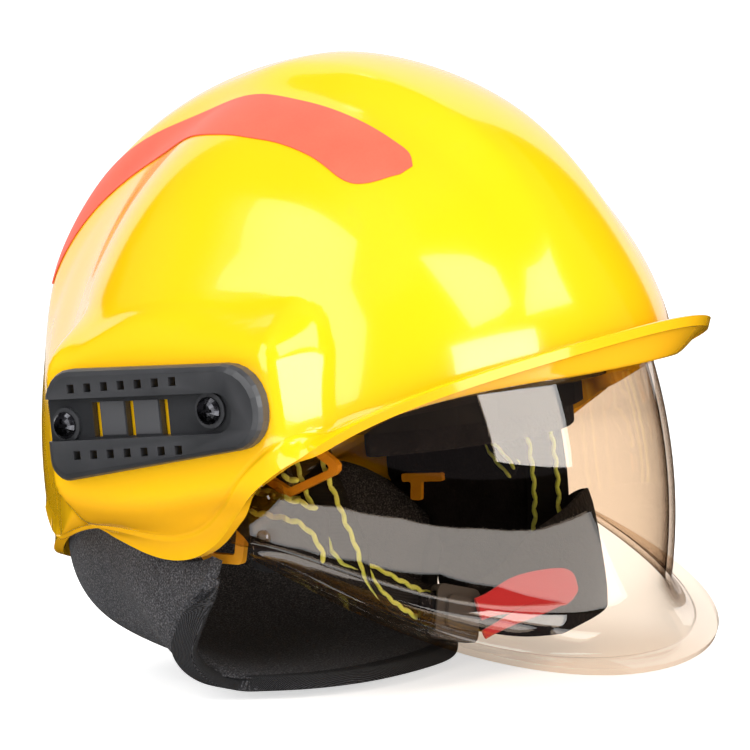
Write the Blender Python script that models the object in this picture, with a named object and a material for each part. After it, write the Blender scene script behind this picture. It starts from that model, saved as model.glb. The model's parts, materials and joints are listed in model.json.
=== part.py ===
"""Structural firefighting helmet, jet style, with a face shield that swings up inside the shell.

Lengths are in millimetres here and new_object() turns them into metres. The head frame has
+Z up, the wearer faces -Y and the wearer's right is -X. Angles round the head are measured
from the front: 0 is the brow, +90 degrees is the right ear, 180 degrees is the nape. The
empty "helmet" lifts the head frame so that the helmet rests on the ground at z = 0.
"""

import math

import bmesh
import bpy
import numpy as np
from mathutils import Vector

MM = 0.001
GAP = 0.3                       # clearance between neighbouring pieces

# Head frame inside the world frame
GROUND_Z = -91.0                # ground under the head frame's origin
CENTRE_Y = -3.0                 # middle of the helmet's length in the head frame

# Outer shell: even rings of values from brow to nape
SHELL_WALL = 3.0
SHELL_TOP = 140.0
APEX_SHIFT_Y = -8.9
DOME_POWER = (1.63, 1.92, 2.17)
WAIST_RADIUS = (130.5, 125.5, 114.8, 112.7, 115.7, 120.7, 137.2)
WAIST_Z = (25.6, 25.6, 13.5, 0.5, -12.8, -24.9, 4.9)
EDGE_RADIUS = (144.0, 141.0, 125.0, 96.3, 98.6, 115.7, 138.0)
EDGE_Z = (36.0, 29.4, 7.4, -29.8, -29.9, -30.0, -47.4)
EDGE_ANGLE = (15.0, 20.0, 45.0, 82.0, 84.0, 75.0, 70.0)
CREST_HEIGHT = 6.0
CREST_FLAT = 20.0               # half width of the crest's top
CREST_FOOT = 42.0               # half width of the crest's foot
CREST_AXIS_Z = 20.0

# Ear bulge and the flat seat that carries the side rail
BULGE_HEIGHT = 3.5
BULGE_Y = 2.0
BULGE_Z = 12.0
BULGE_HALF_LENGTH = 58.0
BULGE_RISE = 50.0
SEAT_X = 114.8
SEAT_Y = 3.5
SEAT_HALF_LENGTH = 46.0
SEAT_LOW = -3.0
SEAT_HIGH = 35.0
SEAT_BLEND_ALONG = 20.0
SEAT_BLEND_ABOVE = 28.0
SEAT_BLEND_BELOW = 16.0

# Reflective stripe; the lift keeps it clear of the shell's flat facets
STRIPE_LIFT = 0.9
STRIPE_THICK = 0.6

# Side rail
RAIL_IN = 115.2
RAIL_OUT = 121.5
RAIL_FLOOR = 118.0              # floor of the channel
RAIL_PAD = 118.4                # flat pads between the slots
RAIL_PITCH = 7.7                # from hole to hole
SLOTS_Y = (28.1, 12.8, -2.7)
SLOT_HALF = 1.8
SCREW_SEAT = 119.2              # bosses under the screw heads
SCREW_FRONT = (-23.5, 22.0)     # y, z
SCREW_REAR = (42.0, 18.6)
SCREW_RADIUS = 2.5
SCREW_HEAD_RADIUS = 4.9

# Face shield
PIVOT_Y = 4.0
PIVOT_Z = -15.0
LENS_WALL = 2.4
LENS_FRONT = 130.3
LENS_SIDE = 94.5
LENS_BARREL_Z = -22.0
LENS_BARREL = 0.0030
LENS_END = math.radians(80.0)
RIVETS = ((-24.0, -13.0), (-22.0, -27.0))   # y, z
ARM_IN = 86.0
ARM_OUT = 88.4
BOSS_OUT = 93.8
BRACKET_IN = 94.9
BRACKET_OUT = 96.6
SEAT_IN = 111.4                 # outer end of the bracket's bosses, against the shell
RIM_TURN = math.radians(62.0)     # how far the flared rim turns outwards
RIM_RADIUS = (139.0, 133.5, 111.0, 94.5)
RIM_Z = (-86.0, -76.0, -48.5, -31.0)

# Impact liner and head fit
LINER_FRONT = 104.0
LINER_REAR = 127.0
LINER_SIDE = 85.0
LINER_TOP = 106.0
HEAD_POWER = 2.1                # 2 is an ellipse; more is squarer
LINER_EDGE_Z = (16.0, 14.0, 10.0, 10.0, 2.0, -8.0, -12.0)

# Webbing and its loops
WEB_WIDTH = 19.0
WEB_THICK = 1.5
LOOP_IN = 79.0
LOOP_OUT = 81.6
REAR_LOOP_IN = 75.4
REAR_LOOP_OUT = 78.0
EAR_PAD_IN = 78.6
EAR_PAD_OUT = 82.2

# Chin strap's buckle; its lever turns about LEVER_HINGE: along the buckle, and out of it
BUCKLE_AT = (-34.0, -63.0, -65.0)
BUCKLE_ALONG = (1.0, -0.25, -0.32)
BUCKLE_OUT = (-0.2, -1.0, 0.1)
LEVER_HINGE = (-7.4, 3.2)

# Nape ratchet: front face and centre height of its housing
RATCHET_Y = 82.0
RATCHET_Z = -24.0
TAIL_TOP = 7.3                  # half height of a tail's wide end
TAIL_RACK = 3.0                 # height of a tail's rack

# Neck curtain
CURTAIN_THICK = 4.0
CURTAIN_REACH = 85.0            # degrees of the head from the nape to either end
CURTAIN_TOP_IN = 8.6            # top edge, inside the shell's edge

SIDES = ((-1, "right"), (1, "left"))


# ---------------------------------------------------------------- helpers

def clear_scene():
    for item in list(bpy.data.objects):
        bpy.data.objects.remove(item, do_unlink=True)


def material(name, colour, roughness, metallic=0.0, alpha=1.0):
    """A Principled material, made once for each name."""
    found = bpy.data.materials.get(name)
    if found:
        return found
    made = bpy.data.materials.new(name)
    made.use_nodes = True
    shader = made.node_tree.nodes["Principled BSDF"]
    shader.inputs["Base Color"].default_value = (*colour, 1.0)
    shader.inputs["Roughness"].default_value = roughness
    shader.inputs["Metallic"].default_value = metallic
    shader.inputs["Alpha"].default_value = alpha
    return made


def shell_yellow():
    return material("shell_yellow", (0.95, 0.72, 0.02), 0.18)


def stripe_red():
    return material("stripe_red", (0.85, 0.12, 0.06), 0.35)


def black_plastic():
    return material("black_plastic", (0.03, 0.03, 0.035), 0.38)


def screw_metal():
    return material("screw_metal", (0.20, 0.20, 0.22), 0.25, 1.0)


def amber_lens():
    return material("amber_lens", (0.80, 0.55, 0.40), 0.05, 0.0, 0.35)


def orange_plastic():
    return material("orange_plastic", (0.90, 0.38, 0.03), 0.35)


def black_foam():
    return material("black_foam", (0.02, 0.02, 0.02), 0.90)


def black_fleece():
    return material("black_fleece", (0.03, 0.03, 0.03), 0.95)


def webbing():
    return material("webbing", (0.03, 0.03, 0.03), 0.80)


def red_fabric():
    return material("red_fabric", (0.75, 0.03, 0.05), 0.70)


def grey_felt():
    return material("grey_felt", (0.06, 0.06, 0.065), 0.95)


def ring(values):
    """Smooth even function of the angle through values at equal steps from brow to nape."""
    steps = np.linspace(0.0, math.pi, len(values))
    order = np.arange(len(values))
    weights = np.linalg.solve(np.cos(np.outer(steps, order)), np.array(values, float))
    return lambda angle: np.cos(np.multiply.outer(angle, order)) @ weights


def half_ring(values):
    """As ring(), from brow to ear, and mirrored behind the ear."""
    steps = np.linspace(0.0, math.pi / 2, len(values))
    order = 2 * np.arange(len(values))
    weights = np.linalg.solve(np.cos(np.outer(steps, order)), np.array(values, float))
    return lambda angle: np.cos(np.multiply.outer(angle, order)) @ weights


def smooth(value, low, high):
    """0 below low, 1 above high and a soft step between."""
    part = np.clip((value - low) / (high - low), 0.0, 1.0)
    return part ** 3 * (part * (6 * part - 15) + 10)


def new_object(name, points, faces, finish, parent, sharp=40.0):
    """One mesh object from points in the head frame, its origin on its parent's origin."""
    origin = Vector(parent["head_point"]) if "head_point" in parent else Vector((0, 0, 0))
    mesh = bpy.data.meshes.new(name)
    places = [(Vector(point) - origin) * MM for point in points]
    mesh.from_pydata(places, [], faces)
    mesh.materials.append(finish)
    mesh.shade_smooth()
    mesh.set_sharp_from_angle(angle=math.radians(sharp))
    made = bpy.data.objects.new(name, mesh)
    bpy.context.scene.collection.objects.link(made)
    made.parent = parent
    return made


def new_empty(name, point, parent=None):
    """An empty at a point of the head frame, on a joint's axis where it carries a joint."""
    made = bpy.data.objects.new(name, None)
    bpy.context.scene.collection.objects.link(made)
    made["head_point"] = point
    if parent:
        made.parent = parent
        made.location = (Vector(point) - Vector(parent["head_point"])) * MM
    return made


def thick_sheet(name, outer, inner, finish, parent, wrap=False, pole=False, sharp=40.0):
    """A closed solid between two grids of points, rows by columns.

    wrap joins the last column to the first; pole means that all points of row 0 are one.
    """
    rows, cols = outer.shape[:2]
    points = []
    lookup = np.zeros((2, rows, cols), int)
    for side, grid in enumerate((outer, inner)):
        for row in range(rows):
            for col in range(cols):
                if pole and row == 0 and col > 0:
                    lookup[side, row, col] = lookup[side, row, 0]
                    continue
                lookup[side, row, col] = len(points)
                points.append(tuple(float(part) for part in grid[row, col]))
    faces = []

    def add(corners):
        kept = [corner for place, corner in enumerate(corners) if corner not in corners[:place]]
        if len(kept) > 2:
            faces.append(kept)

    last = cols if wrap else cols - 1
    for row in range(rows - 1):
        for col in range(last):
            nxt = (col + 1) % cols
            add([lookup[0, row, col], lookup[0, row + 1, col], lookup[0, row + 1, nxt], lookup[0, row, nxt]])
            add([lookup[1, row, col], lookup[1, row, nxt], lookup[1, row + 1, nxt], lookup[1, row + 1, col]])
    for col in range(last):
        nxt = (col + 1) % cols
        end = rows - 1
        add([lookup[0, end, col], lookup[1, end, col], lookup[1, end, nxt], lookup[0, end, nxt]])
        if not pole:
            add([lookup[0, 0, nxt], lookup[1, 0, nxt], lookup[1, 0, col], lookup[0, 0, col]])
    if not wrap:
        for row in range(rows - 1):
            add([lookup[0, row, 0], lookup[1, row, 0], lookup[1, row + 1, 0], lookup[0, row + 1, 0]])
            add([lookup[0, row + 1, -1], lookup[1, row + 1, -1], lookup[1, row, -1], lookup[0, row, -1]])
    made = new_object(name, points, faces, finish, parent, sharp)
    face_outwards(made)
    return made


def face_outwards(item):
    """Turn every face of a closed mesh outwards."""
    cage = bmesh.new()
    cage.from_mesh(item.data)
    bmesh.ops.recalc_face_normals(cage, faces=cage.faces)
    if cage.calc_volume(signed=True) < 0:
        bmesh.ops.reverse_faces(cage, faces=cage.faces)
    cage.to_mesh(item.data)
    cage.free()


def rounded(corners, steps=5):
    """Outline through corners (u, v, radius), with arcs of that radius."""
    outline = []
    count = len(corners)
    for place, (u, v, radius) in enumerate(corners):
        here = Vector((u, v))
        back = (Vector(corners[place - 1][:2]) - here).normalized()
        ahead = (Vector(corners[(place + 1) % count][:2]) - here).normalized()
        half = back.angle(ahead) / 2
        if radius <= 0:
            outline.append((u, v))
            continue
        start = here + back * (radius / math.tan(half))
        end = here + ahead * (radius / math.tan(half))
        centre = here + (back + ahead).normalized() * (radius / math.sin(half))
        from_angle = math.atan2(start.y - centre.y, start.x - centre.x)
        to_angle = math.atan2(end.y - centre.y, end.x - centre.x)
        turn = (to_angle - from_angle + math.pi) % (2 * math.pi) - math.pi
        for step in range(steps + 1):
            angle = from_angle + turn * step / steps
            outline.append((centre.x + radius * math.cos(angle), centre.y + radius * math.sin(angle)))
    return outline


def plate_x(name, outline, x_low, x_high, finish, parent, sharp=40.0):
    """A plate with its outline in (y, z), between two heights along X."""
    count = len(outline)
    points = [(x_low, y, z) for y, z in outline] + [(x_high, y, z) for y, z in outline]
    faces = [list(range(count)), list(range(2 * count - 1, count - 1, -1))]
    for place in range(count):
        nxt = (place + 1) % count
        faces.append([place, place + count, nxt + count, nxt])
    made = new_object(name, points, faces, finish, parent, sharp)
    face_outwards(made)
    return made


def lathe(name, profile, point, axis, finish, parent, steps=20):
    """A turned solid: profile (along axis, radius) from one end to the other."""
    along = Vector(axis).normalized()
    spin = along.to_track_quat("Z", "Y").to_matrix()
    points = []
    faces = []
    rings = []
    for height, radius in profile:
        if radius == 0:
            rings.append([len(points)] * steps)
            points.append(Vector(point) + along * height)
            continue
        rings.append(list(range(len(points), len(points) + steps)))
        for step in range(steps):
            angle = 2 * math.pi * step / steps
            local = Vector((radius * math.cos(angle), radius * math.sin(angle), height))
            points.append(Vector(point) + spin @ local)
    for low, high in zip(rings, rings[1:]):
        for step in range(steps):
            nxt = (step + 1) % steps
            corners = [low[step], low[nxt], high[nxt], high[step]]
            kept = [corner for place, corner in enumerate(corners) if corner not in corners[:place]]
            faces.append(kept)
    for end in (rings[0], rings[-1]):
        if len(set(end)) > 1:
            faces.append(list(end))
    made = new_object(name, points, faces, finish, parent)
    face_outwards(made)
    return made


def curve_through(knots, steps):
    """Catmull-Rom curve through knots, as an array of points with its ends on the end knots."""
    knots = [np.array(knot, float) for knot in knots]
    padded = [2 * knots[0] - knots[1]] + knots + [2 * knots[-1] - knots[-2]]
    points = []
    for place in range(1, len(padded) - 2):
        before, start, end, after = padded[place - 1:place + 3]
        for step in range(steps):
            part = step / steps
            linear = 2 * start + (end - before) * part
            square = (2 * before - 5 * start + 4 * end - after) * part ** 2
            cube = (3 * start - before - 3 * end + after) * part ** 3
            points.append((linear + square + cube) / 2)
    points.append(knots[-1])
    return np.array(points)


def ribbon(name, knots, sides, width, thick, finish, parent, steps=4):
    """A flat strap along a curve; sides gives the direction across the strap at each knot."""
    path = curve_through(knots, steps)
    across = curve_through(sides, steps)
    tangent = np.gradient(path, axis=0)
    tangent /= np.linalg.norm(tangent, axis=1)[:, None]
    across -= (across * tangent).sum(1)[:, None] * tangent
    across /= np.linalg.norm(across, axis=1)[:, None]
    normal = np.cross(tangent, across)
    half = np.broadcast_to(np.asarray(width, float), (len(path),))[:, None] / 2
    rise = normal * thick / 2
    outer = np.stack([path - across * half + rise, path + across * half + rise], 1)
    inner = np.stack([path - across * half - rise, path + across * half - rise], 1)
    return thick_sheet(name, outer, inner, finish, parent, sharp=30.0)


def rod(point, axis, length, radius, steps=14):
    """A hidden round cutter, starting at point and running along axis."""
    made = lathe("cutter", [(0, radius), (length, radius)], point, axis, black_plastic(), helmet, steps)
    return made


def block(low, high):
    """A hidden box cutter between two corners."""
    outline = [(low[1], low[2]), (high[1], low[2]), (high[1], high[2]), (low[1], high[2])]
    return plate_x("cutter", outline, low[0], high[0], black_plastic(), helmet)


def cut(item, cutters, operation="DIFFERENCE"):
    """Apply Boolean cuts one after another and remove the cutters."""
    for cutter in cutters:
        step = item.modifiers.new("cut", "BOOLEAN")
        step.operation = operation
        step.object = cutter
        bpy.context.view_layer.update()
        evaluated = item.evaluated_get(bpy.context.evaluated_depsgraph_get())
        mesh = bpy.data.meshes.new_from_object(evaluated)
        item.modifiers.clear()
        item.data = mesh
        bpy.data.objects.remove(cutter, do_unlink=True)
    item.data.set_sharp_from_angle(angle=math.radians(35))
    return item


def unite(item, extras):
    """Unite the extras with the item."""
    return cut(item, extras, "UNION")


# ---------------------------------------------------------------- outer shell

def shell_surface(angle, level):
    """Outer face of the shell: level 0 apex, 1 waist, 2 edge; angle round the head."""
    waist_radius = ring(WAIST_RADIUS)(angle)
    waist_z = ring(WAIST_Z)(angle)
    edge_radius = ring(EDGE_RADIUS)(angle)
    edge_z = ring(EDGE_Z)(angle)
    edge_tilt = np.radians(ring(EDGE_ANGLE)(angle))
    power = 2 / ring(DOME_POWER)(angle)
    arc = np.clip(level, 0, 1) * math.pi / 2
    dome_radius = waist_radius * np.sin(arc) ** power
    dome_z = waist_z + (SHELL_TOP - waist_z) * np.abs(np.cos(arc)) ** power
    part = np.clip(level - 1, 0, 1)
    reach = np.hypot(edge_radius - waist_radius, waist_z - edge_z)
    first_z = waist_z - 0.45 * reach
    second_radius = edge_radius - 0.40 * reach * np.cos(edge_tilt)
    second_z = edge_z + 0.40 * reach * np.sin(edge_tilt)
    start, near, far, end = (1 - part) ** 3, 3 * (1 - part) ** 2 * part, 3 * (1 - part) * part ** 2, part ** 3
    wall_radius = (start + near) * waist_radius + far * second_radius + end * edge_radius
    wall_z = start * waist_z + near * first_z + far * second_z + end * edge_z
    radius = np.where(level <= 1, dome_radius, wall_radius)
    z = np.where(level <= 1, dome_z, wall_z)
    x = -radius * np.sin(angle)
    y = -radius * np.cos(angle) + APEX_SHIFT_Y * (1 - np.clip(radius / waist_radius, 0, 1) ** 2)
    x, y, z = raise_crest(x, y, z)
    return np.stack([raise_ear(x, y, z), y, z], -1)


def raise_crest(x, y, z):
    """Lift the band over the middle of the head, fading at brow and nape."""
    slope = np.degrees(np.arctan2(z - CREST_AXIS_Z, -y))
    along = smooth(slope, 10, 60) * (1 - smooth(slope, 150, 185))
    across = 1 - smooth(np.abs(x), CREST_FLAT, CREST_FOOT)
    lift = CREST_HEIGHT * along * across
    reach = np.maximum(np.hypot(y, z - CREST_AXIS_Z), 1.0)
    return x, y + lift * y / reach, z + lift * (z - CREST_AXIS_Z) / reach


def raise_ear(x, y, z):
    """Push the sides out over the ears and flatten them where the rails sit."""
    upper = np.where(z > BULGE_Z, (z - BULGE_Z) / BULGE_RISE, 0.0)
    spread = np.hypot((y - BULGE_Y) / BULGE_HALF_LENGTH, upper)
    bulge = (1 - smooth(spread, 0.86, 1.0)) * smooth(z, -32, -12)
    side = smooth(np.abs(x), 60, 85)
    out = np.abs(x) + BULGE_HEIGHT * bulge * side
    past_y = np.maximum(np.abs(y - SEAT_Y) - SEAT_HALF_LENGTH, 0) / SEAT_BLEND_ALONG
    above = np.maximum(z - SEAT_HIGH, 0) / SEAT_BLEND_ABOVE
    below = np.maximum(SEAT_LOW - z, 0) / SEAT_BLEND_BELOW
    seat = (1 - smooth(np.hypot(past_y, above + below), 0, 1)) * side
    out = out + (SEAT_X - out) * seat
    return np.sign(x) * out


def shell_offset(angle, level, inset):
    """The shell surface moved in along its normal."""
    step = 1e-3
    here = shell_surface(angle, level)
    round_step = shell_surface(angle + step, level) - shell_surface(angle - step, level)
    below = shell_surface(angle, np.minimum(level + step, 2))
    down_step = below - shell_surface(angle, np.maximum(level - step, 1e-4))
    normal = np.cross(down_step, round_step)
    normal /= np.maximum(np.linalg.norm(normal, axis=-1), 1e-9)[..., None]
    outward = np.sign((normal * (here - np.array([0, 0, 10.0]))).sum(-1))
    return here - inset * normal * outward[..., None]


def build_shell():
    angle = np.linspace(-math.pi, math.pi, 53)[:-1]
    level = np.concatenate([np.linspace(0.04, 1.0, 12), np.linspace(1.0, 2.0, 7)[1:]])
    angles, levels = np.meshgrid(angle, level)
    outer = shell_offset(angles, levels, 0.0)
    inner = shell_offset(angles, levels, SHELL_WALL)
    crown = np.array([0.0, outer[0, :, 1].mean(), outer[0, :, 2].max() + 0.2])
    outer = np.concatenate([np.broadcast_to(crown, (1, len(angle), 3)), outer])
    inner = np.concatenate([np.broadcast_to(crown - [0, 0, SHELL_WALL], (1, len(angle), 3)), inner])
    shell = thick_sheet("outer_shell", outer, inner, shell_yellow(), helmet, wrap=True, pole=True)
    holes = []
    for side in (-1, 1):
        for y, z in (SCREW_FRONT, SCREW_REAR):
            holes.append(rod((side * 100, y, z), (side, 0, 0), 22, SCREW_RADIUS + GAP))
    return cut(shell, holes)


def stripe_edges(count):
    """Reflective stripe beside the crest: slopes from brow to nape, and x of its two edges."""
    knots = [(48, 50, 55), (51, 46.5, 63.5), (56, 45.5, 66), (67, 43.5, 62.5), (77, 41, 60.5), (87, 39, 60.5),
             (97, 37, 58.5), (108, 33, 50), (121, 28, 40), (135, 22.5, 34.5), (152, 17, 29)]
    path = curve_through(knots, 12)
    slope = np.linspace(path[0, 0], path[-1, 0], count)
    near = np.interp(slope, path[:, 0], path[:, 1])
    far = np.interp(slope, path[:, 0], path[:, 2])
    return np.radians(slope), near, far


def on_shell(x, slope):
    """Angle and level of the outer face's point with this x and slope about the crest's axis."""
    angle, level = side_seed(x, slope)
    for _ in range(40):
        point = shell_surface(angle, level)
        high = point[..., 2] - CREST_AXIS_Z
        miss_x = x - point[..., 0]
        miss_slope = slope - np.arctan2(high, -point[..., 1])
        step = 1e-4
        by_angle = (shell_surface(angle + step, level) - point) / step
        by_level = (shell_surface(angle, level + step) - point) / step
        reach = point[..., 1] ** 2 + high ** 2
        turn_angle = (by_angle[..., 1] * high - by_angle[..., 2] * point[..., 1]) / reach
        turn_level = (by_level[..., 1] * high - by_level[..., 2] * point[..., 1]) / reach
        det = by_angle[..., 0] * turn_level - by_level[..., 0] * turn_angle
        det = np.where(np.abs(det) < 1e-6, 1e-6, det)
        change = (miss_x * turn_level - by_level[..., 0] * miss_slope) / det
        angle = angle + np.clip(change, -0.15, 0.15)
        change = (by_angle[..., 0] * miss_slope - miss_x * turn_angle) / det
        level = np.clip(level + np.clip(change, -0.1, 0.1), 0.02, 1.9)
    return angle, level


def side_seed(x, slope):
    """First guess of angle and level for on_shell()."""
    y = -115 * np.cos(slope)
    angle = np.arctan2(-x, -y)
    level = np.clip(np.hypot(x, y) / 125, 0.1, 1.0) * 0.8
    return angle, level


def build_stripe(name, side):
    slope, near, far = stripe_edges(27)
    across = np.linspace(0, 1, 5)
    slopes = np.broadcast_to(slope[:, None], (len(slope), len(across)))
    x = side * (near[:, None] + (far - near)[:, None] * across[None, :])
    angle, level = on_shell(x, slopes)
    inner = shell_offset(angle, level, -STRIPE_LIFT)
    outer = shell_offset(angle, level, -(STRIPE_LIFT + STRIPE_THICK))
    return thick_sheet(name, outer, inner, stripe_red(), helmet)


# ---------------------------------------------------------------- side rails and their screws

def mirrored(side, low, high):
    """Heights along X for a plate on one side of the head, in rising order."""
    return (low, high) if side > 0 else (-high, -low)


def domed_plate(name, corners, side, levels, finish):
    """A plate along X whose outline (y, z, radius) shrinks by the inset at each level."""
    points = []
    for x, inset in levels:
        shrunk = rounded(corners, 6)
        middle_y = sum(y for y, _ in shrunk) / len(shrunk)
        middle_z = sum(z for _, z in shrunk) / len(shrunk)
        half_y = (max(y for y, _ in shrunk) - min(y for y, _ in shrunk)) / 2
        half_z = (max(z for _, z in shrunk) - min(z for _, z in shrunk)) / 2
        for y, z in shrunk:
            points.append((side * x, middle_y + (y - middle_y) * (1 - inset / half_y),
                           middle_z + (z - middle_z) * (1 - inset / half_z)))
    count = len(points) // len(levels)
    faces = [list(range(count)), list(range(len(points) - count, len(points)))]
    for row in range(len(levels) - 1):
        for place in range(count):
            nxt = (place + 1) % count
            low, high = row * count, (row + 1) * count
            faces.append([low + place, high + place, high + nxt, low + nxt])
    made = new_object(name, points, faces, finish, helmet)
    face_outwards(made)
    return made


def build_rail(name, side):
    """Side rail: a bar with a channel open to the rear, three slots and two rows of holes."""
    corners = [(-46.2, 38.0, 15.5), (50.2, 38.8, 12), (50.2, -2.6, 7), (-46.2, 9.0, 13)]
    levels = [(RAIL_IN, 0), (RAIL_OUT - 2.6, 0), (RAIL_OUT - 0.9, 0.8), (RAIL_OUT, 2.6)]
    rail = domed_plate(name, corners, side, levels, black_plastic())
    low, high = mirrored(side, RAIL_FLOOR, RAIL_OUT + 2)
    channel = rounded([(-34.5, 28.3, 7), (56, 28.3, 0), (56, 12.8, 0), (-34.5, 14.2, 7)])
    cut(rail, [plate_x("cutter", channel, low, high, black_plastic(), helmet)])
    raised = [rod((side * (RAIL_IN + 1), y, z), (side, 0, 0), SCREW_SEAT - RAIL_IN - 1, 6.4, 24)
              for y, z in (SCREW_FRONT, SCREW_REAR)]
    low, high = mirrored(side, RAIL_IN + 1, RAIL_PAD)
    raised.append(block((low, -0.4, 14.5), (high, 10.5, 26.5)))
    raised.append(block((low, 15.1, 14.5), (high, 25.8, 26.5)))
    unite(rail, raised)
    low, high = mirrored(side, RAIL_IN - 1, RAIL_OUT + 1)
    cutters = [block((low, y - SLOT_HALF, 13.8), (high, y + SLOT_HALF, 26.4)) for y in SLOTS_Y]
    for number in range(7):
        y = 36.3 - RAIL_PITCH * number
        for z in (31.8 + 0.18 * number, 7.7 + 0.16 * number):
            cutters.append(block((low, y - 1.6, z - 1.6), (high, y + 1.6, z + 1.6)))
    for y, z in (SCREW_FRONT, SCREW_REAR):
        cutters.append(rod((side * 112, y, z), (side, 0, 0), 12, SCREW_RADIUS + GAP))
    return cut(rail, cutters)


def build_rail_screw(name, side, place):
    """Pan-head cross-recess screw through rail and shell into the bracket."""
    y, z = place
    head = SCREW_SEAT + GAP
    profile = [(0, 0), (0, SCREW_RADIUS), (head - 99, SCREW_RADIUS), (head - 99, SCREW_HEAD_RADIUS),
               (head - 98.2, SCREW_HEAD_RADIUS), (head - 97.2, 3.8), (head - 96.7, 2.2), (head - 96.5, 0)]
    screw = lathe(name, profile, (side * 99, y, z), (side, 0, 0), screw_metal(), helmet, 16)
    low, high = mirrored(side, head + 1.1, head + 4)
    recess = [block((low, y - 2.6, z - 0.55), (high, y + 2.6, z + 0.55)),
              block((low, y - 0.55, z - 2.6), (high, y + 0.55, z + 2.6))]
    return cut(screw, recess)


# ---------------------------------------------------------------- face shield and its hinge

def lens_surface(angle, height):
    """Outer face of the lens; height 0 top edge, 1 foot of the wall, 1..2 flared rim."""
    rim_radius = half_ring(RIM_RADIUS)(angle)
    rim_z = half_ring(RIM_Z)(angle)
    top_z = 30.0 - 42.0 * np.sin(np.abs(angle)) ** 4
    flare = 4.0 + 18.0 * np.cos(angle) ** 2
    foot_z = rim_z + flare
    wall = np.clip(height, 0, 1)
    z = top_z + (foot_z - top_z) * wall
    front = LENS_FRONT - LENS_BARREL * (z - LENS_BARREL_Z) ** 2
    radius = ((np.cos(angle) / front) ** 2 + (np.sin(angle) / LENS_SIDE) ** 2) ** -0.5
    turn = np.clip(height - 1, 0, 1) * RIM_TURN
    out = (1 - np.cos(turn)) / (1 - math.cos(RIM_TURN))
    down = np.sin(turn) / math.sin(RIM_TURN)
    radius = radius + (rim_radius - radius) * out
    z = z - flare * down
    return np.stack([-radius * np.sin(angle), -radius * np.cos(angle), z], -1)


def build_lens():
    angle = np.linspace(-LENS_END, LENS_END, 33)
    height = np.concatenate([np.linspace(0, 1, 6), np.linspace(1, 2, 6)[1:]])
    angles, heights = np.meshgrid(angle, height)
    outer = lens_surface(angles, heights)
    step = 1e-3
    round_step = lens_surface(angles + step, heights) - lens_surface(angles - step, heights)
    below = lens_surface(angles, np.minimum(heights + step, 2))
    down_step = below - lens_surface(angles, np.maximum(heights - step, 0))
    normal = np.cross(down_step, round_step)
    normal /= np.linalg.norm(normal, axis=-1)[..., None]
    normal *= np.sign((normal * outer * [1, 1, 0]).sum(-1))[..., None]
    inner = outer - normal * LENS_WALL
    inner[-1, :, :2] = outer[-1, :, :2] * (1 - 0.3 / np.linalg.norm(outer[-1, :, :2], axis=-1))[:, None]
    inner[-1, :, 2] = outer[-1, :, 2] - LENS_WALL
    lens = thick_sheet("visor_lens", outer, inner, amber_lens(), visor_axis, sharp=30.0)
    holes = []
    for side in (-1, 1):
        for y, z in RIVETS:
            holes.append(rod((side * 88, y, z), (side, 0, 0), 12, 1.6 + GAP, 10))
    return cut(lens, holes)


def build_arm(name, side):
    """Arm that carries one end of the lens, with a thick boss on the hinge axis."""
    outline = rounded([(-28, -7, 4), (-8, -7, 8), (13, -6, 9), (13, -24, 9), (-8, -31, 8), (-27, -32.5, 4)])
    low, high = mirrored(side, ARM_IN, ARM_OUT)
    arm = plate_x(name, outline, low, high, amber_lens(), visor_axis)
    boss = rod((side * (ARM_IN + 1), PIVOT_Y, PIVOT_Z), (side, 0, 0), BOSS_OUT - ARM_IN - 1, 7.6, 20)
    unite(arm, [boss])
    holes = [rod((side * (ARM_IN - 2), PIVOT_Y, PIVOT_Z), (side, 0, 0), 14, 3.06, 20)]
    for y, z in RIVETS:
        holes.append(rod((side * (ARM_IN - 2), y, z), (side, 0, 0), 8, 1.6 + GAP, 10))
    return cut(arm, holes)


def build_rivet(name, side, place):
    """Flat-headed rivet that joins the lens to its arm."""
    y, z = place
    reach = LENS_SIDE * math.sqrt(1 - (y / LENS_FRONT) ** 2) + 0.5 - (ARM_IN - 1.0 - GAP)
    profile = [(0, 0), (0, 3.0), (1.0, 3.0), (1.0, 1.6), (reach, 1.6), (reach, 2.8), (reach + 0.7, 2.4),
               (reach + 0.7, 0)]
    foot = (side * (ARM_IN - 1.0 - GAP), y, z)
    return lathe(name, profile, foot, (side, 0, 0), amber_lens(), visor_axis, 12)


def build_washer(name, side):
    """Friction washer between arm and bracket."""
    profile = [(0, 3.4), (0, 7.2), (0.5, 7.2), (0.5, 3.4)]
    foot = (side * (BOSS_OUT + GAP), PIVOT_Y, PIVOT_Z)
    return turned_ring(name, profile, foot, (side, 0, 0), screw_metal())


def turned_ring(name, profile, point, axis, finish, steps=20):
    """A turned ring: a closed profile (along axis, radius) that stays off the axis."""
    along = Vector(axis).normalized()
    spin = along.to_track_quat("Z", "Y").to_matrix()
    count = len(profile)
    points = []
    faces = []
    for step in range(steps):
        angle = 2 * math.pi * step / steps
        for height, radius in profile:
            local = Vector((radius * math.cos(angle), radius * math.sin(angle), height))
            points.append(Vector(point) + spin @ local)
    for step in range(steps):
        nxt = (step + 1) % steps
        for place in range(count):
            far = (place + 1) % count
            faces.append([step * count + place, step * count + far, nxt * count + far, nxt * count + place])
    made = new_object(name, points, faces, finish, helmet)
    face_outwards(made)
    return made


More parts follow.
